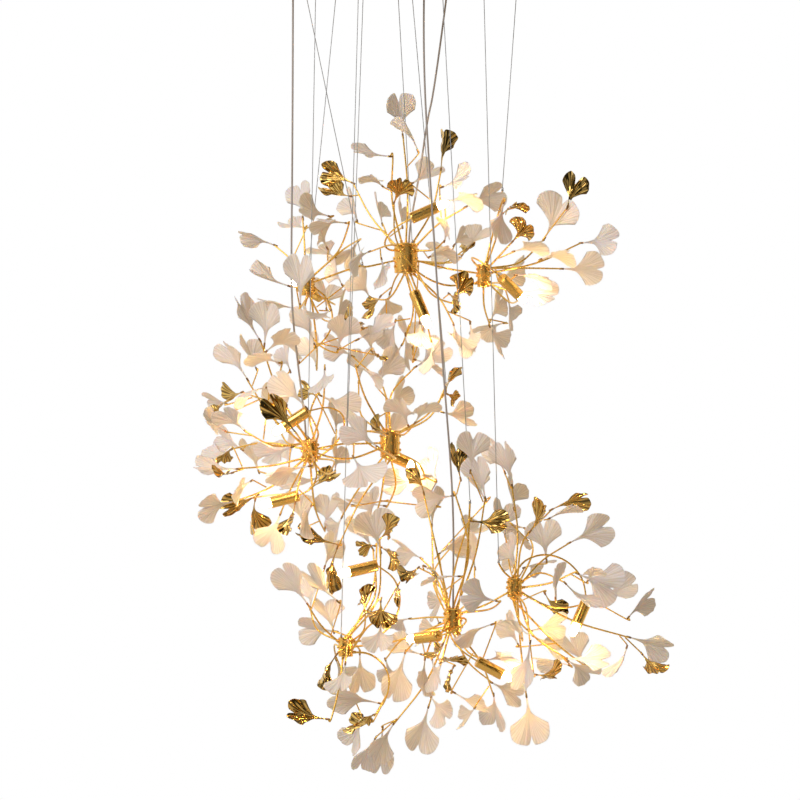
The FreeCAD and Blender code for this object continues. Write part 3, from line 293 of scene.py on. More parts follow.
def fitting_maker():
    """Geometry nodes: one turned fitting set at each point, its length along the point's direction."""
    group = bpy.data.node_groups.new("fittings along directions", "GeometryNodeTree")
    group.is_modifier = True
    group.interface.new_socket("Geometry", in_out="INPUT", socket_type="NodeSocketGeometry")
    group.interface.new_socket("Pattern", in_out="INPUT", socket_type="NodeSocketObject")
    group.interface.new_socket("Finish", in_out="INPUT", socket_type="NodeSocketMaterial")
    group.interface.new_socket("Geometry", in_out="OUTPUT", socket_type="NodeSocketGeometry")
    n, link = group.nodes, group.links.new
    given, put = n.new("NodeGroupInput"), n.new("NodeGroupOutput")
    pattern, way = n.new("GeometryNodeObjectInfo"), n.new("GeometryNodeInputNamedAttribute")
    way.data_type = "FLOAT_VECTOR"
    way.inputs["Name"].default_value = "way"
    turn = n.new("FunctionNodeAlignRotationToVector")
    turn.axis = "Z"
    spread, real = n.new("GeometryNodeInstanceOnPoints"), n.new("GeometryNodeRealizeInstances")
    coat = n.new("GeometryNodeSetMaterial")
    link(given.outputs["Pattern"], pattern.inputs["Object"])
    link(way.outputs["Attribute"], turn.inputs["Vector"])
    link(given.outputs["Geometry"], spread.inputs["Points"])
    link(pattern.outputs["Geometry"], spread.inputs["Instance"])
    link(turn.outputs["Rotation"], spread.inputs["Rotation"])
    link(spread.outputs["Instances"], real.inputs["Geometry"])
    link(real.outputs["Geometry"], coat.inputs["Geometry"])
    link(given.outputs["Finish"], coat.inputs["Material"])
    link(coat.outputs["Geometry"], put.inputs["Geometry"])
    return group


fitting_tree = fitting_maker()


def set_inputs(modifier, values):
    """Sets a modifier's named inputs by their sockets' identifiers."""
    for item in modifier.node_group.interface.items_tree:
        if item.item_type == "SOCKET" and item.in_out == "INPUT" and item.name in values:
            modifier[item.identifier] = values[item.name]


def plain_copy(source, name, body, nodes=()):
    """Turns an object with a nodes modifier into a plain mesh piece, and removes the source."""
    bpy.context.view_layer.update()
    shown = source.evaluated_get(bpy.context.evaluated_depsgraph_get())
    mesh = bpy.data.meshes.new_from_object(shown)
    mesh.name = name
    piece = bpy.data.objects.new(name, mesh)
    bpy.context.scene.collection.objects.link(piece)
    bpy.data.objects.remove(source)
    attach(piece, body)
    if nodes:
        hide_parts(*nodes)
    return piece


def fittings(name, profiles, spots, material, body, nodes=()):
    """One piece of many equal turned fittings; each spot is (place, direction)."""
    solid = ([], [])
    for profile, sides in profiles:
        gather(solid, *turned(profile, (0, 0, 0), up, sides))
    shape = bpy.data.meshes.new(name + "_pattern")
    shape.from_pydata(solid[0], [], solid[1])
    shape.polygons.foreach_set("use_smooth", [True] * len(shape.polygons))
    shape.set_sharp_from_angle(angle=sharp_over)
    pattern = bpy.data.objects.new(name + "_pattern", shape)
    mesh = bpy.data.meshes.new(name + "_spots")
    mesh.from_pydata([tuple(place) for place, _ in spots], [], [])
    ways = [part for _, way in spots for part in way]
    mesh.attributes.new("way", "FLOAT_VECTOR", "POINT").data.foreach_set("vector", ways)
    source = bpy.data.objects.new(name + "_spots", mesh)
    for made in (pattern, source):
        bpy.context.scene.collection.objects.link(made)
    modifier = source.modifiers.new("fittings", "NODES")
    modifier.node_group = fitting_tree
    set_inputs(modifier, {"Pattern": pattern, "Finish": material})
    piece = plain_copy(source, name, body, nodes)
    bpy.data.objects.remove(pattern)
    return piece


def spots_of(name, level=None):
    """Where the upright round solids of a CAD node stand: the middle of each, at its foot or at a level."""
    found = []
    for points, _ in solids_of(name):
        low, high = points.min(axis=0), points.max(axis=0)
        height = low[2] if level is None else level
        found.append(((0.5 * (low[0] + high[0]), 0.5 * (low[1] + high[1]), height), up))
    return found


hexagon = [(-0.0401, 0.0056), (-0.0407, 0.0058), (-0.0455, 0.0058), (-0.0460, 0.0052)]
dome = [(-0.0460, 0.0047), (-0.0480, 0.0044), (-0.0492, 0.0034), (-0.0499, 0.0018), (-0.0500, 0.0004)]
fittings("canopy_dome_nuts", [(hexagon, 6), (dome, 20)], spots_of("canopy_cap_nuts", 0.0), nickel, "canopy",
         ["canopy_cap_nuts"])
barrel = [(-0.0401, 0.0060), (-0.0424, 0.0060), (-0.0428, 0.0050), (-0.0440, 0.0050), (-0.0444, 0.0057),
          (-0.0500, 0.0055), (-0.0516, 0.0046), (-0.0520, 0.0030), (-0.0520, 0.0013), (-0.0450, 0.0013)]
fittings("wire_gripper_barrels", [(barrel, 24)], spots_of("wire_grippers", 0.0), nickel, "canopy",
         ["wire_grippers"])

# ---- tiers: wires ----
# Thin bright steel wires, gripped under the pan. Each ends in a small pressed sleeve on a hub, a tie rod
# or a bent hanger rod, and is pulled straight by the tier's weight.
wire_steel = marked_material("bright wire", (0.46, 0.45, 0.44), 0.42, 0.28, 1.0, 900.0, 0.0001)
tiers = ("upper", "middle", "lower")


def tube_rings(points, triangles, sides_to_try):
    """The rings of corners of a CAD tube, from one end to the other, or None if it isn't such a tube."""
    near = {i: set() for i in range(len(points))}
    for t in triangles:
        for a in t:
            near[a].update(t)
    for sides in sides_to_try:
        if len(points) % sides:
            continue
        for start in range(len(points)):
            gaps = np.linalg.norm(points - points[start], axis=1)
            layer = set(int(i) for i in np.argsort(gaps)[:sides])
            seen, layers = set(layer), [layer]
            while True:
                new = set().union(*[near[i] for i in layer]) - seen
                if not new:
                    break
                seen |= new
                layers.append(new)
                layer = new
            if len(layers) * sides == len(points) and all(len(ring) == sides for ring in layers):
                return [points[sorted(ring)] for ring in layers]
    return None


def tube_lines(name, sides_to_try):
    """The middle lines of a CAD node's tubes. One that can't be followed is reported and left out."""
    lines = []
    for number, (points, triangles) in enumerate(solids_of(name)):
        rings = tube_rings(points, triangles, sides_to_try)
        if rings is None:
            print("not followed:", name, number)
        else:
            lines.append([Vector(ring.mean(axis=0)) for ring in rings])
    return lines


def rounded(line, steps):
    """A smooth line through the points of a bent one."""
    if len(line) < 3:
        return list(line)
    ends = [line[0] * 2 - line[1]] + list(line) + [line[-1] * 2 - line[-2]]
    out = []
    for i in range(1, len(ends) - 2):
        a, b, c, d = ends[i - 1], ends[i], ends[i + 1], ends[i + 2]
        for k in range(steps):
            t = k / steps
            out.append(0.5 * ((b * 2) + (c - a) * t + (a * 2 - b * 5 + c * 4 - d) * t * t
                              + (b * 3 - a - c * 3 + d) * t * t * t))
    out.append(line[-1])
    return out


def tube_maker():
    """Geometry nodes: round tubes along lines, as thick as each point says."""
    group = bpy.data.node_groups.new("round tubes along lines", "GeometryNodeTree")
    group.is_modifier = True
    group.interface.new_socket("Geometry", in_out="INPUT", socket_type="NodeSocketGeometry")
    sides = group.interface.new_socket("Sides", in_out="INPUT", socket_type="NodeSocketInt")
    sides.default_value = 8
    group.interface.new_socket("Finish", in_out="INPUT", socket_type="NodeSocketMaterial")
    group.interface.new_socket("Geometry", in_out="OUTPUT", socket_type="NodeSocketGeometry")
    n, link = group.nodes, group.links.new
    given, put = n.new("NodeGroupInput"), n.new("NodeGroupOutput")
    lines, circle = n.new("GeometryNodeMeshToCurve"), n.new("GeometryNodeCurvePrimitiveCircle")
    thick = n.new("GeometryNodeInputNamedAttribute")
    thick.data_type = "FLOAT"
    thick.inputs["Name"].default_value = "thick"
    skin, real = n.new("GeometryNodeCurveToMesh"), n.new("GeometryNodeRealizeInstances")
    smooth, coat = n.new("GeometryNodeSetShadeSmooth"), n.new("GeometryNodeSetMaterial")
    circle.inputs["Radius"].default_value = 1.0
    skin.inputs["Fill Caps"].default_value = True
    link(given.outputs["Geometry"], lines.inputs["Mesh"])
    link(given.outputs["Sides"], circle.inputs["Resolution"])
    link(lines.outputs["Curve"], skin.inputs["Curve"])
    link(circle.outputs["Curve"], skin.inputs["Profile Curve"])
    link(thick.outputs["Attribute"], skin.inputs["Scale"])
    link(skin.outputs["Mesh"], smooth.inputs["Geometry"])
    link(smooth.outputs["Geometry"], real.inputs["Geometry"])
    link(real.outputs["Geometry"], coat.inputs["Geometry"])
    link(given.outputs["Finish"], coat.inputs["Material"])
    link(coat.outputs["Geometry"], put.inputs["Geometry"])
    return group


tube_tree = tube_maker()


def tubes(name, lines, material, sides, body, nodes=()):
    """One piece of many round tubes; each line is a list of (place, radius)."""
    points, edges, thick = [], [], []
    for line in lines:
        start = len(points)
        points += [tuple(p) for p, _ in line]
        thick += [r for _, r in line]
        edges += [(start + i, start + i + 1) for i in range(len(line) - 1)]
    mesh = bpy.data.meshes.new(name + "_lines")
    mesh.from_pydata(points, edges, [])
    mesh.attributes.new("thick", "FLOAT", "POINT").data.foreach_set("value", thick)
    source = bpy.data.objects.new(name + "_lines", mesh)
    bpy.context.scene.collection.objects.link(source)
    modifier = source.modifiers.new("tubes", "NODES")
    modifier.node_group = tube_tree
    set_inputs(modifier, {"Sides": sides, "Finish": material})
    return plain_copy(source, name, body, nodes)


wire_radius = 0.0008
shoe = [(0.0, 0.0025), (0.0006, 0.0028), (0.0018, 0.0028), (0.0022, 0.0020), (0.0030, 0.0020),
        (0.0034, 0.0024), (0.0062, 0.0022), (0.0078, 0.0013), (0.0080, 0.0009)]
for tier in tiers:
    lines = [[(end, wire_radius) for end in (line[0], line[-1])] for line in tube_lines(tier + "_wires", (6,))]
    tubes(tier + "_steel_wires", lines, wire_steel, 8, tier + "_tier", [tier + "_wires"])
    fittings(tier + "_wire_sleeves", [(shoe, 14)], spots_of(tier + "_wire_ferrules"), nickel,
             tier + "_tier", [tier + "_wire_ferrules"])

# ---- tiers: hubs ----
# Short turned brass bosses that the rods are brazed into. Each has a domed cap screw at both ends, a
# fine groove near each rim and three rows of small screw heads round it.
brass = marked_material("polished brass", (0.94, 0.60, 0.17), 0.30, 0.16, 1.0, 120.0, 0.0002,
                        (0.86, 0.49, 0.10))
screw_head = [(-0.0010, 0.0030), (0.0016, 0.0030), (0.0026, 0.0024), (0.0028, 0.0013), (0.0012, 0.0011)]
screw_rows = 3
screws_in_row = 7
row_spacing = 0.56
inside_cad = 0.985


def hub_sizes(tier):
    """The middle, half height and radius of each of a tier's CAD hubs."""
    found = []
    for points, _ in solids_of(tier + "_hubs"):
        middle = 0.5 * (points.min(axis=0) + points.max(axis=0))
        high = 0.5 * (points[:, 2].max() - points[:, 2].min())
        found.append((middle, high, np.linalg.norm((points - middle)[:, :2], axis=1).max()))
    return found


hubs = {tier: hub_sizes(tier) for tier in tiers}
for tier in tiers:
    bosses, heads = ([], []), []
    for middle, high, radius in hubs[tier]:
        wide = radius * inside_cad
        profile = [(-high, 0.3 * wide), (-high, 0.93 * wide), (-high + 0.0015, wide), (-high + 0.004, wide),
                   (-high + 0.0045, 0.95 * wide), (-high + 0.0055, 0.95 * wide), (-high + 0.006, wide)]
        profile += [(-a, r) for a, r in reversed(profile)]
        gather(bosses, *turned(profile, middle, up, 40))
        cap = [(high, 0.30 * wide), (high + 0.0014, 0.29 * wide), (high + 0.0022, 0.2 * wide),
               (high + 0.0024, 0.02 * wide)]
        for way in (1, -1):
            gather(bosses, *turned(cap, middle, (0, 0, way), 20))
        for row in range(screw_rows):
            level = middle[2] + (row - 1) * row_spacing * high
            for k in range(screws_in_row):
                turn = 2 * math.pi * (k + 0.5 * row) / screws_in_row
                way = (math.cos(turn), math.sin(turn), 0.0)
                heads.append(((middle[0] + way[0] * wide, middle[1] + way[1] * wide, level), way))
    finish_piece(tier + "_turned_hubs", *bosses, brass, tier + "_tier", "polished_brass", [tier + "_hubs"])
    fittings(tier + "_hub_screws", [(screw_head, 12)], heads, brass, tier + "_tier")

# ---- tiers: rods and twigs ----
# Round brass rods bowed by hand run out from the hubs, with thinner twigs brazed to them. The tip of each
# carries a leaf in a small dark sleeve, and each rod starts in a brass collar on its hub.
rod_brass = marked_material("brass rod", (0.97, 0.65, 0.16), 0.38, 0.20, 1.0, 160.0, 0.0002,
                            (0.86, 0.48, 0.08))
hub_names = ("upper_centre", "upper_left", "upper_right", "middle_left", "middle_centre",
             "lower_centre", "lower_right", "lower_left")
tier_of = {name: name.split("_")[0] for name in hub_names}
rod_radius = 0.0021
rod_taper = 0.0005
twig_radius = 0.0014
tie_radius = 0.0020
on_hub = 0.002
collar = [(0.0, 0.0030), (0.0050, 0.0030), (0.0062, 0.0026), (0.0066, 0.0019)]
collars = {tier: [] for tier in tiers}


def hub_gap(place, tier):
    """How far a point is from the skin of its tier's nearest hub."""
    gaps = []
    for middle, high, radius in hubs[tier]:
        off = place - Vector(middle)
        gaps.append(max(math.hypot(off.x, off.y) - radius, abs(off.z) - high))
    return min(gaps)


for hub in hub_names:
    tier = tier_of[hub]
    lines = []
    for line in tube_lines(hub + "_branches", (4, 3)):
        if hub_gap(line[0], tier) > hub_gap(line[-1], tier):
            line.reverse()
        smooth = rounded(line, 5)
        if hub_gap(line[0], tier) < on_hub:
            count = len(smooth) - 1
            lines.append([(p, rod_radius - rod_taper * i / count) for i, p in enumerate(smooth)])
            collars[tier].append((smooth[0], (smooth[1] - smooth[0]).normalized()))
        else:
            lines.append([(p, twig_radius) for p in smooth])
    tubes(hub + "_brass_rods", lines, rod_brass, 8, tier + "_tier", [hub + "_branches"])
for tier in tiers:
    lines = [[(p, tie_radius) for p in rounded(line, 6)] for line in tube_lines(tier + "_tie_rods", (6,))]
    tubes(tier + "_tie_bars", lines, rod_brass, 10, tier + "_tier", [tier + "_tie_rods"])
    fittings(tier + "_rod_collars", [(collar, 12)], collars[tier], brass, tier + "_tier")

# ---- tiers: lampholder tubes and bulbs ----
# A brass tube hides each small two-pin lampholder. Its white ceramic face shows inside the mouth, and the
# lit capsule bulb stands out of it by half its length.
ceramic_face = marked_material("white ceramic face", (0.78, 0.77, 0.74), 0.30, 0.20, 0.0, 90.0, 0.0001)
glow, glow_tree, glow_shader = plain_material("lit capsule glass", (0.95, 0.90, 0.82), 0.15)
glow_shader.inputs["Emission Strength"].default_value = 150.0
capsule_map, capsule_split = (glow_tree.nodes.new("ShaderNode" + kind) for kind in ("UVMap", "SeparateXYZ"))
capsule_map.uv_map = "own_map"
warmth = glow_tree.nodes.new("ShaderNodeValToRGB")
warmth.color_ramp.elements[0].color = (0.80, 0.36, 0.10, 1.0)
warmth.color_ramp.elements[1].color = (0.95, 0.56, 0.22, 1.0)
warmth.color_ramp.elements.new(0.45).color = (1.0, 0.68, 0.32, 1.0)
glow_tree.links.new(capsule_map.outputs["UV"], capsule_split.inputs["Vector"])
glow_tree.links.new(capsule_split.outputs["Y"], warmth.inputs["Fac"])
glow_tree.links.new(warmth.outputs["Color"], glow_shader.inputs["Emission Color"])
pinch = marked_material("clear pinch of the bulb", (0.86, 0.84, 0.80), 0.16, 0.06, 0.0, 150.0, 0.0001)
lamp_tube = [(0.0, 0.0035), (0.0, 0.0098), (0.0009, 0.0110), (0.0022, 0.0115), (0.0030, 0.0115),
             (0.0033, 0.0111), (0.0040, 0.0111), (0.0043, 0.0115), (0.0570, 0.0115), (0.0578, 0.01135),
             (0.0580, 0.0110), (0.0579, 0.0105), (0.0560, 0.0104), (0.0450, 0.0104)]
foot_plug = [(-0.0001, 0.0036), (0.0030, 0.0036)]
socket_face = [(0.0375, 0.0102), (0.0540, 0.0102), (0.0546, 0.0096), (0.0546, 0.0084), (0.0535, 0.0080),
               (0.0400, 0.0079)]
capsule = [(0.0150, 0.0052), (0.0165, 0.0066), (0.0185, 0.0073), (0.0240, 0.0073), (0.0340, 0.0073),
           (0.0380, 0.0069), (0.0412, 0.0058), (0.0434, 0.0040), (0.0446, 0.0022), (0.0452, 0.0014),
           (0.0459, 0.0008)]
capsule_start, capsule_length, capsule_sides = 0.0150, 0.0309, 28
capsule_uv = [(k / capsule_sides, (along - capsule_start) / capsule_length)
              for along, _ in capsule for k in range(capsule_sides)]
pinch_foot = [(0.0, 0.0046), (0.0010, 0.0050), (0.0140, 0.0050), (0.0155, 0.0053)]
seat_height = 0.0363
bulbs = {}
for joint in frame["joints"]:
    if joint["name"].startswith("bulb_"):
        bulb = joint["name"][:len("bulb_00")]
        bulbs[bulb] = (joint["parent"].split("_")[0], Vector(joint["axis"]).normalized())
shells = {tier: ([], []) for tier in tiers}
faces_in = {tier: ([], []) for tier in tiers}
for bulb, (tier, way) in sorted(bulbs.items()):
    points, _ = solids_of(bulb)[0]
    middle = Vector(points.mean(axis=0))
    low = middle + way * min((Vector(p) - middle).dot(way) for p in points)
    foot = low - way * seat_height
    gather(shells[tier], *turned(lamp_tube, foot, way, 40))
    gather(shells[tier], *turned(foot_plug, foot, way, 20))
    gather(faces_in[tier], *turned(socket_face, foot, way, 32))
    finish_piece(bulb + "_capsule", *turned(capsule, low, way, capsule_sides), glow, bulb + "_body",
                 "lit_bulb_glass", [bulb], uv=capsule_uv)
    finish_piece(bulb + "_pinch", *turned(pinch_foot, low, way, 20), pinch, bulb + "_body", "lit_bulb_glass")
for tier in tiers:
    finish_piece(tier + "_lamp_tubes", *shells[tier], brass, tier + "_tier", "polished_brass",
                 [tier + "_lampholders"])
    finish_piece(tier + "_lamp_faces", *faces_in[tier], ceramic_face, tier + "_tier", "white_plastic")

# ---- tiers: porcelain leaves and gilt leaves ----
# Each leaf is cast: a thin stem that opens into a two-lobed fan with a notch, fine ribs and a wavy rim.
# Most are unglazed white porcelain; some are smaller, deeply creased and gilded to a mirror.
porcelain, porcelain_tree, porcelain_shader = plain_material("biscuit porcelain", (0.86, 0.80, 0.74), 0.50)
porcelain_shader.inputs["Subsurface Weight"].default_value = 0.55
porcelain_shader.inputs["Subsurface Radius"].default_value = (1.0, 0.70, 0.40)
porcelain_shader.inputs["Subsurface Scale"].default_value = 0.006
tint_read = porcelain_tree.nodes.new("ShaderNodeAttribute")
tint_read.attribute_name = "tint"
tint_mix = porcelain_tree.nodes.new("ShaderNodeMix")
tint_mix.data_type = "RGBA"
tint_mix.inputs["A"].default_value = (0.88, 0.79, 0.71, 1.0)
tint_mix.inputs["B"].default_value = (0.87, 0.81, 0.79, 1.0)
porcelain_tree.links.new(tint_read.outputs["Fac"], tint_mix.inputs["Factor"])
porcelain_tree.links.new(tint_mix.outputs["Result"], porcelain_shader.inputs["Base Color"])
gilt = marked_material("mirror gilding", (0.84, 0.58, 0.18), 0.10, 0.04, 1.0, 70.0, 0.0001,
                       (0.74, 0.46, 0.12))


def leaf_ribs_and_groove_shade():
    """Shared effect: fine ribs that fan out from the stem, read from the leaf's own map, and a mask of their
    grooves where shade is painted.
    """
    group = bpy.data.node_groups.new("leaf ribs and groove shade", "ShaderNodeTree")
    for name, value in (("Scale", 6.0), ("Depth", 0.0004)):
        socket = group.interface.new_socket(name, in_out="INPUT", socket_type="NodeSocketFloat")
        socket.default_value = value
    group.interface.new_socket("Groove shade", in_out="OUTPUT", socket_type="NodeSocketFloat")
    group.interface.new_socket("Normal", in_out="OUTPUT", socket_type="NodeSocketVector")
    n, link = group.nodes, group.links.new
    given, put = n.new("NodeGroupInput"), n.new("NodeGroupOutput")
    leaf_map, wave = n.new("ShaderNodeUVMap"), n.new("ShaderNodeTexWave")
    leaf_map.uv_map = "own_map"
    wave.wave_type = "BANDS"
    wave.bands_direction = "X"
    wave.inputs["Distortion"].default_value = 0.8
    wave.inputs["Detail"].default_value = 1.0
    wave.inputs["Detail Scale"].default_value = 1.0
    # the groove mask says where the leaf's colour is darkened as painted shade
    groove_shade, bump = n.new("ShaderNodeMapRange"), n.new("ShaderNodeBump")
    groove_shade.inputs["From Min"].default_value = 0.5
    groove_shade.inputs["From Max"].default_value = 0.1
    bump.inputs["Strength"].default_value = 0.8
    link(leaf_map.outputs["UV"], wave.inputs["Vector"])
    link(given.outputs["Scale"], wave.inputs["Scale"])
    link(given.outputs["Depth"], bump.inputs["Distance"])
    link(wave.outputs["Fac"], bump.inputs["Height"])
    link(wave.outputs["Fac"], groove_shade.inputs["Value"])
    link(groove_shade.outputs["Result"], put.inputs["Groove shade"])
    link(bump.outputs["Normal"], put.inputs["Normal"])
    return group


rib_and_groove_shade_effect = leaf_ribs_and_groove_shade()


def ribs_with_painted_groove_shade(material, scale, depth, shade_share, colour, relief):
    """Puts ribs on a leaf material: their grooves take a share of a darker colour as painted shade, and some
    have relief.
    """
    tree = material.node_tree
    shader = tree.nodes["Principled BSDF"]
    effect, shade_amount, mix = (tree.nodes.new("ShaderNode" + kind) for kind in ("Group", "Math", "Mix"))
    effect.node_tree = rib_and_groove_shade_effect
    effect.inputs["Scale"].default_value = scale
    effect.inputs["Depth"].default_value = depth
    shade_amount.operation = "MULTIPLY"
    shade_amount.inputs[1].default_value = shade_share
    # the darker colour mixed into the grooves is painted shade
    mix.data_type = "RGBA"
    mix.inputs["B"].default_value = (*colour, 1.0)
    tree.links.new(effect.outputs["Groove shade"], shade_amount.inputs[0])
    tree.links.new(shade_amount.outputs[0], mix.inputs["Factor"])
    tree.links.new(shader.inputs["Base Color"].links[0].from_socket, mix.inputs["A"])
    tree.links.new(mix.outputs["Result"], shader.inputs["Base Color"])
    if relief:
        tree.links.new(effect.outputs["Normal"], shader.inputs["Normal"])


# porcelain: the rib grooves are darkened towards brown as painted shade, and the ribs have bump relief
ribs_with_painted_groove_shade(porcelain, 6.0, 0.0004, 0.32, (0.56, 0.45, 0.37), True)
# gilding: the rib grooves are darkened nearly to black as painted shade, with no relief
ribs_with_painted_groove_shade(gilt, 3.5, 0.0004, 0.85, (0.16, 0.09, 0.03), False)


def leaf_facts(points, thick):
    """Where a CAD leaf's stem starts, its axis, width direction and face, and its rim, from its corners."""
    nothing = 1e-5
    ways = points[None, :, :] - points[:, None, :]
    first, second = np.nonzero(np.abs(np.linalg.norm(ways, axis=2) - thick) < nothing)
    pairs = []
    for way in ways[first, second]:
        alike = [(i, j, ways[i, j]) for i, j in zip(first, second)
                 if np.linalg.norm(ways[i, j] - way) < nothing]
        if len(alike) > len(pairs):
            pairs = alike
    face = Vector(pairs[0][2]).normalized()
    mids = [Vector(0.5 * (points[i] + points[j])) for i, j, _ in pairs]
    _, *stem = min(((mids[a] - mids[b]).length, a, b) for a in range(len(mids)) for b in range(a))
    base = 0.5 * (mids[stem[0]] + mids[stem[1]])
    rest = sorted((k for k in range(len(mids)) if k not in stem), key=lambda k: (mids[k] - base).length)
    throat = rest[:2]
    across = (mids[throat[1]] - mids[throat[0]]).normalized()
    axis = face.cross(across)
    if axis.dot(0.5 * (mids[throat[0]] + mids[throat[1]]) - base) < 0:
        across = -across
        axis = -axis
    rim = []
    for k in rest[2:]:
        off = mids[k] - base
        rim.append((off.dot(across), off.dot(axis), off.dot(face)))
    rim.sort()
    lift = 0.5 * (rim[0][2] + rim[4][2]) - rim[2][2] * (0.5 * (rim[0][1] + rim[4][1]) / rim[2][1]) ** 2
    if lift < 0:
        face = -face
        across = -across
        rim = [(-v, u, -f) for v, u, f in reversed(rim)]
    return base, axis, across, face, rim


def leaf_mesh(facts, thick, seed, gilded, columns, rows):
    """Corners, faces and map of one leaf with real thickness, from the rim of its CAD solid."""
    base, axis, across, face, rim = facts
    rng = np.random.default_rng(seed)
    length = max(u for _, u, _ in rim)
    half = 0.5 * (rim[4][0] - rim[0][0])
    notch_u = rim[2][1]
    stem_rows = 6
    even = np.linspace(-1.0, 1.0, columns)
    edge = np.sign(even) * np.abs(even) ** 1.45
    # the rim: two full lobes that leave a narrow notch between them
    rim_u, rim_v = np.empty(columns), np.empty(columns)
    for k, s in enumerate(edge):
        shoulder_v, shoulder_u = rim[0 if s < 0 else 4][:2]
        tip_u = (rim[1] if s < 0 else rim[3])[1]
        t = 1.0 - abs(s)
        q = 1.0 - t
        corners = ((shoulder_v * 1.05, shoulder_u * 0.97),
                   (shoulder_v * 1.33, shoulder_u + 0.85 * (tip_u - shoulder_u)),
                   (shoulder_v * 0.54, tip_u * 1.12), (0.0, tip_u * 1.03))
        weights = (q ** 3, 3 * q * q * t, 3 * q * t * t, t ** 3)
        rim_v[k] = sum(w * c[0] for w, c in zip(weights, corners))
        rim_u[k] = sum(w * c[1] for w, c in zip(weights, corners))
    phase = rng.uniform(0, 6.28, 6)
    rim_u += length * 0.012 * np.sin(edge * rng.uniform(7.0, 11.0) + phase[4])
    notch = (rim[1][1] + rim[3][1]) * 0.515 - notch_u + 0.02 * length
    slit = np.exp(-(np.abs(edge) / rng.uniform(0.04, 0.09)) ** 1.3)
    throat_u = 0.30 * length
    shoulder_lift = 0.5 * (rim[0][2] + rim[4][2])
    bend = rim[2][2] / (notch_u * notch_u)
    cup = shoulder_lift - bend * (0.5 * (rim[0][1] + rim[4][1])) ** 2
    ruffle = (0.06 if gilded else 0.045) * length * rng.uniform(0.6, 1.4)
    flute = 0.0022 if gilded else 0.0013
    flutes = 6.0 if gilded else 8.0
    waves = rng.uniform(1.4, 2.8)
    rim_start = 0.94
    rim_depth = 0.06
    blade = np.concatenate([np.linspace(0.0, rim_start, rows - 2)[1:], [0.972, 0.992, 1.0]])
    # the rows of the leaf: f runs along the stem, then r along the blade, each from 0 to 1
    stations = [(f / stem_rows, 0.0) for f in range(stem_rows + 1)] + [(1.0, float(r)) for r in blade]
    total = len(stations) - 1
    top, low, uv = [], [], []
    for i, (f, r) in enumerate(stations):
        if r == 0.0:
            u_line = np.full(columns, throat_u * f)
            v_line = edge * (0.00125 + 0.0011 * f ** 1.5 + 0.0016 * f ** 4)
            plump = 0.5 * thick * (1.4 if gilded else 1.0) * (1.0 + 0.25 * (1 - f))
            power = 2.0
        else:
            u_line = throat_u + (rim_u - throat_u) * r - notch * slit * r ** 7
            flare = r ** (1.15 + 0.45 * np.abs(edge))
            v_line = edge * 0.00395 * (1 - r) + rim_v * flare
            plump = 0.5 * thick * (1.0 - 0.25 * r)
            plump *= math.sqrt(max(0.0, 1.0 - (max(0.0, r - rim_start) / rim_depth) ** 2)) * 0.9 + 0.1
            power = 2.0 + 8.0 * r
        swell = plump * np.sqrt(np.maximum(0.0, 1.0 - np.abs(edge) ** power))
        # cupped across and bent along, then a wavy rim, fine flutes, full lobes and, if gilded, creases
        lift = cup * np.minimum(1.5, np.abs(v_line / half)) ** 1.3 * (0.4 + 0.6 * r) + bend * u_line ** 2
        lift = lift + (ruffle * r ** 2.2 * np.sin(edge * math.pi * waves + phase[0])
                       * (0.35 + 0.65 * np.abs(edge)))
        lift = lift + flute * r * (1.2 - 0.6 * r) * np.cos(edge * flutes * math.pi + phase[1])
        lift = lift + 0.050 * length * r * np.sin(math.pi * np.minimum(1.0, np.abs(edge)))
        if gilded:
            lift = lift + 0.07 * length * r ** 3 * np.sin(phase[2] + 2.2 * edge)
            lift = lift + 0.0024 * r * np.sin(7.0 * r + 4.0 * edge + phase[3])
            lift = lift + 0.0006 * r * np.sin(15.0 * r - 7.0 * edge + phase[5])
        for k in range(columns):
            middle = base + axis * float(u_line[k]) + across * float(v_line[k]) + face * float(lift[k])
            top.append(middle + face * float(swell[k]))
            low.append(middle - face * float(swell[k]))
            uv.append((0.5 + 0.5 * edge[k], i / total))
    count = total + 1
    verts = top + [low[i * columns + k] for i in range(count) for k in range(1, columns - 1)]
    uvs = uv + [uv[i * columns + k] for i in range(count) for k in range(1, columns - 1)]

    def under(i, k):
        """The corner on the leaf's back; at both side edges it is the front's own."""
        if k in (0, columns - 1):
            return i * columns + k
        return count * columns + i * (columns - 2) + k - 1

    faces = []
    for i in range(count - 1):
        for k in range(columns - 1):
            first = i * columns + k
            faces.append((first, first + 1, first + columns + 1, first + columns))
            faces.append((under(i, k), under(i + 1, k), under(i + 1, k + 1), under(i, k + 1)))
    for i in (0, count - 1):
        for k in range(columns - 1):
            loop = [i * columns + k, under(i, k), under(i, k + 1), i * columns + k + 1]
            if i:
                loop.reverse()
            loop = [v for j, v in enumerate(loop) if v not in loop[:j]]
            faces.append(tuple(loop))
    return verts, faces, uvs


sleeves = {tier: [] for tier in tiers}


def leaves_of(node, name, material, body, slot, thick, gilded, columns, rows):
    """All the leaves of one CAD node as one piece; it also notes where the dark sleeves at their stems go."""
    made, uvs, tint = ([], []), [], []
    rng = np.random.default_rng(len(node) * 7)
    tier = node.split("_")[0]
    for number, (points, _) in enumerate(solids_of(node)):
        facts = leaf_facts(points, thick)
        verts, faces, uv = leaf_mesh(facts, thick, 1000 + 17 * number + len(node), gilded, columns, rows)
        gather(made, verts, faces)
        uvs += uv
        tint += [float(rng.uniform(0.0, 1.0))] * len(verts)
        sleeves[tier].append((facts[0], facts[1]))
    return finish_piece(name, *made, material, body, slot, [node], corner=None, uv=uvs, tint=tint)


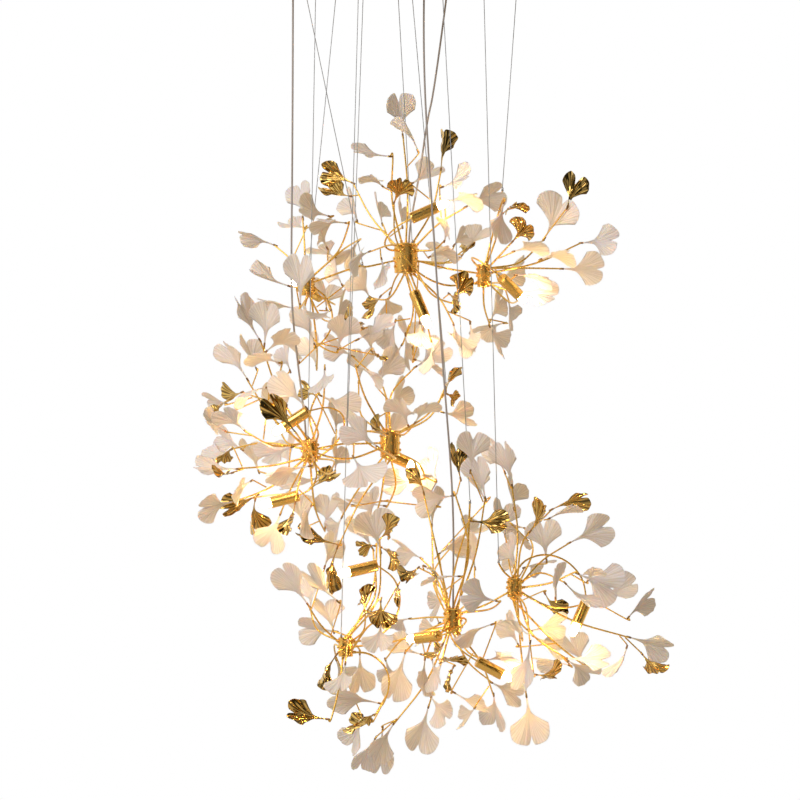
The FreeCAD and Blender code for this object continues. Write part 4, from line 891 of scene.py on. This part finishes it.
porcelain_thick, gilt_thick = 0.0022, 0.0012
for hub in hub_names:
    leaves_of(hub + "_porcelain_leaves", hub + "_cast_leaves", porcelain, tier_of[hub] + "_tier",
              "bisque_porcelain", porcelain_thick, False, 41, 12)
for tier in tiers:
    leaves_of(tier + "_gilt_leaves", tier + "_gilded_leaves", gilt, tier + "_tier", "gilt_leaf",
              gilt_thick, True, 43, 16)
dark_sleeve = marked_material("browned brass sleeve", (0.36, 0.20, 0.08), 0.45, 0.28, 1.0, 200.0, 0.0001)
sleeve = [(-0.0052, 0.0015), (-0.0047, 0.0019), (0.0005, 0.0021), (0.0042, 0.0020), (0.0047, 0.0016)]
for tier in tiers:
    fittings(tier + "_leaf_sleeves", [(sleeve, 10)], sleeves[tier], dark_sleeve, tier + "_tier")

# ---- the room: floor, light and white surround ----
# A pale floor far below and one soft light at the upper left. The surround is white to the camera, as in
# the photograph, and an even warm light on matt pieces. Polished metal mirrors white behind the lamp and,
# towards the viewer, a dim room with bright patches in front, at both sides and overhead.
floor_mesh = bpy.data.meshes.new("floor")
floor_mesh.from_pydata([(-4, -4, -2.7), (4, -4, -2.7), (4, 4, -2.7), (-4, 4, -2.7)], [], [(0, 1, 2, 3)])
floor = bpy.data.objects.new("floor", floor_mesh)
floor_paint, floor_tree, floor_shader = plain_material("pale floor", (0.85, 0.85, 0.85), 0.8)
floor_shader.inputs["Emission Color"].default_value = (0.52, 0.55, 0.60, 1.0)
floor_rays = floor_tree.nodes.new("ShaderNodeLightPath")
floor_tree.links.new(floor_rays.outputs["Is Camera Ray"], floor_shader.inputs["Emission Strength"])
floor_mesh.materials.append(floor_paint)
bpy.context.scene.collection.objects.link(floor)

key_data = bpy.data.lights.new("soft key", "AREA")
key_data.shape = "RECTANGLE"
key_data.size = 2.4
key_data.size_y = 2.4
key_data.energy = 98.0
key_data.color = (0.97, 0.95, 1.0)
key = bpy.data.objects.new("soft_key", key_data)
key.location = (-2.4, -2.6, 1.2)
key.rotation_euler = (Vector((0, 0, -0.9)) - key.location).to_track_quat("-Z", "Y").to_euler()
bpy.context.scene.collection.objects.link(key)

world = bpy.data.worlds.new("surround")
bpy.context.scene.world = world
world.use_nodes = True
wn, wlink = world.node_tree.nodes, world.node_tree.links.new
wn.clear()
seen = wn.new("ShaderNodeBackground")
seen.inputs["Color"].default_value = (1.0, 1.0, 1.0, 1.0)
seen.inputs["Strength"].default_value = 1.0
ambient = wn.new("ShaderNodeBackground")
ambient.inputs["Color"].default_value = (1.0, 0.84, 0.64, 1.0)
ambient.inputs["Strength"].default_value = 0.40
mirrored = wn.new("ShaderNodeBackground")
mirrored.inputs["Color"].default_value = (1.0, 0.985, 0.96, 1.0)
place, split = wn.new("ShaderNodeTexCoord"), wn.new("ShaderNodeSeparateXYZ")
wlink(place.outputs["Generated"], split.inputs["Vector"])


def band(axis, start, end, low, high):
    """How bright the room looks between two values of one part of the direction."""
    reach = wn.new("ShaderNodeMapRange")
    reach.interpolation_type = "SMOOTHSTEP"
    for name, value in (("From Min", start), ("From Max", end), ("To Min", low), ("To Max", high)):
        reach.inputs[name].default_value = value
    wlink(split.outputs[axis], reach.inputs["Value"])
    return reach.outputs["Result"]


def brighter(a, b):
    """The higher of two values."""
    pick = wn.new("ShaderNodeMath")
    pick.operation = "MAXIMUM"
    wlink(a, pick.inputs[0])
    wlink(b, pick.inputs[1])
    return pick.outputs[0]


behind = band("Y", 0.18, 0.40, 0.025, 1.0)
front_window = band("Y", -0.82, -0.95, 0.0, 0.30)
left_window = band("X", -0.74, -0.82, 0.0, 0.85)
ceiling_light = band("Z", 0.80, 0.88, 0.0, 0.9)
right_wall = band("X", 0.86, 0.92, 0.0, 0.4)
sides_lit = brighter(brighter(behind, front_window), left_window)
wlink(brighter(sides_lit, brighter(ceiling_light, right_wall)), mirrored.inputs["Strength"])
rays = wn.new("ShaderNodeLightPath")
room, choose = wn.new("ShaderNodeMixShader"), wn.new("ShaderNodeMixShader")
put = wn.new("ShaderNodeOutputWorld")
wlink(brighter(rays.outputs["Is Glossy Ray"], rays.outputs["Is Transmission Ray"]), room.inputs["Fac"])
wlink(ambient.outputs["Background"], room.inputs[1])
wlink(mirrored.outputs["Background"], room.inputs[2])
wlink(rays.outputs["Is Camera Ray"], choose.inputs["Fac"])
wlink(room.outputs["Shader"], choose.inputs[1])
wlink(seen.outputs["Background"], choose.inputs[2])
wlink(choose.outputs["Shader"], put.inputs["Surface"])

bpy.context.scene.view_settings.view_transform = "Standard"
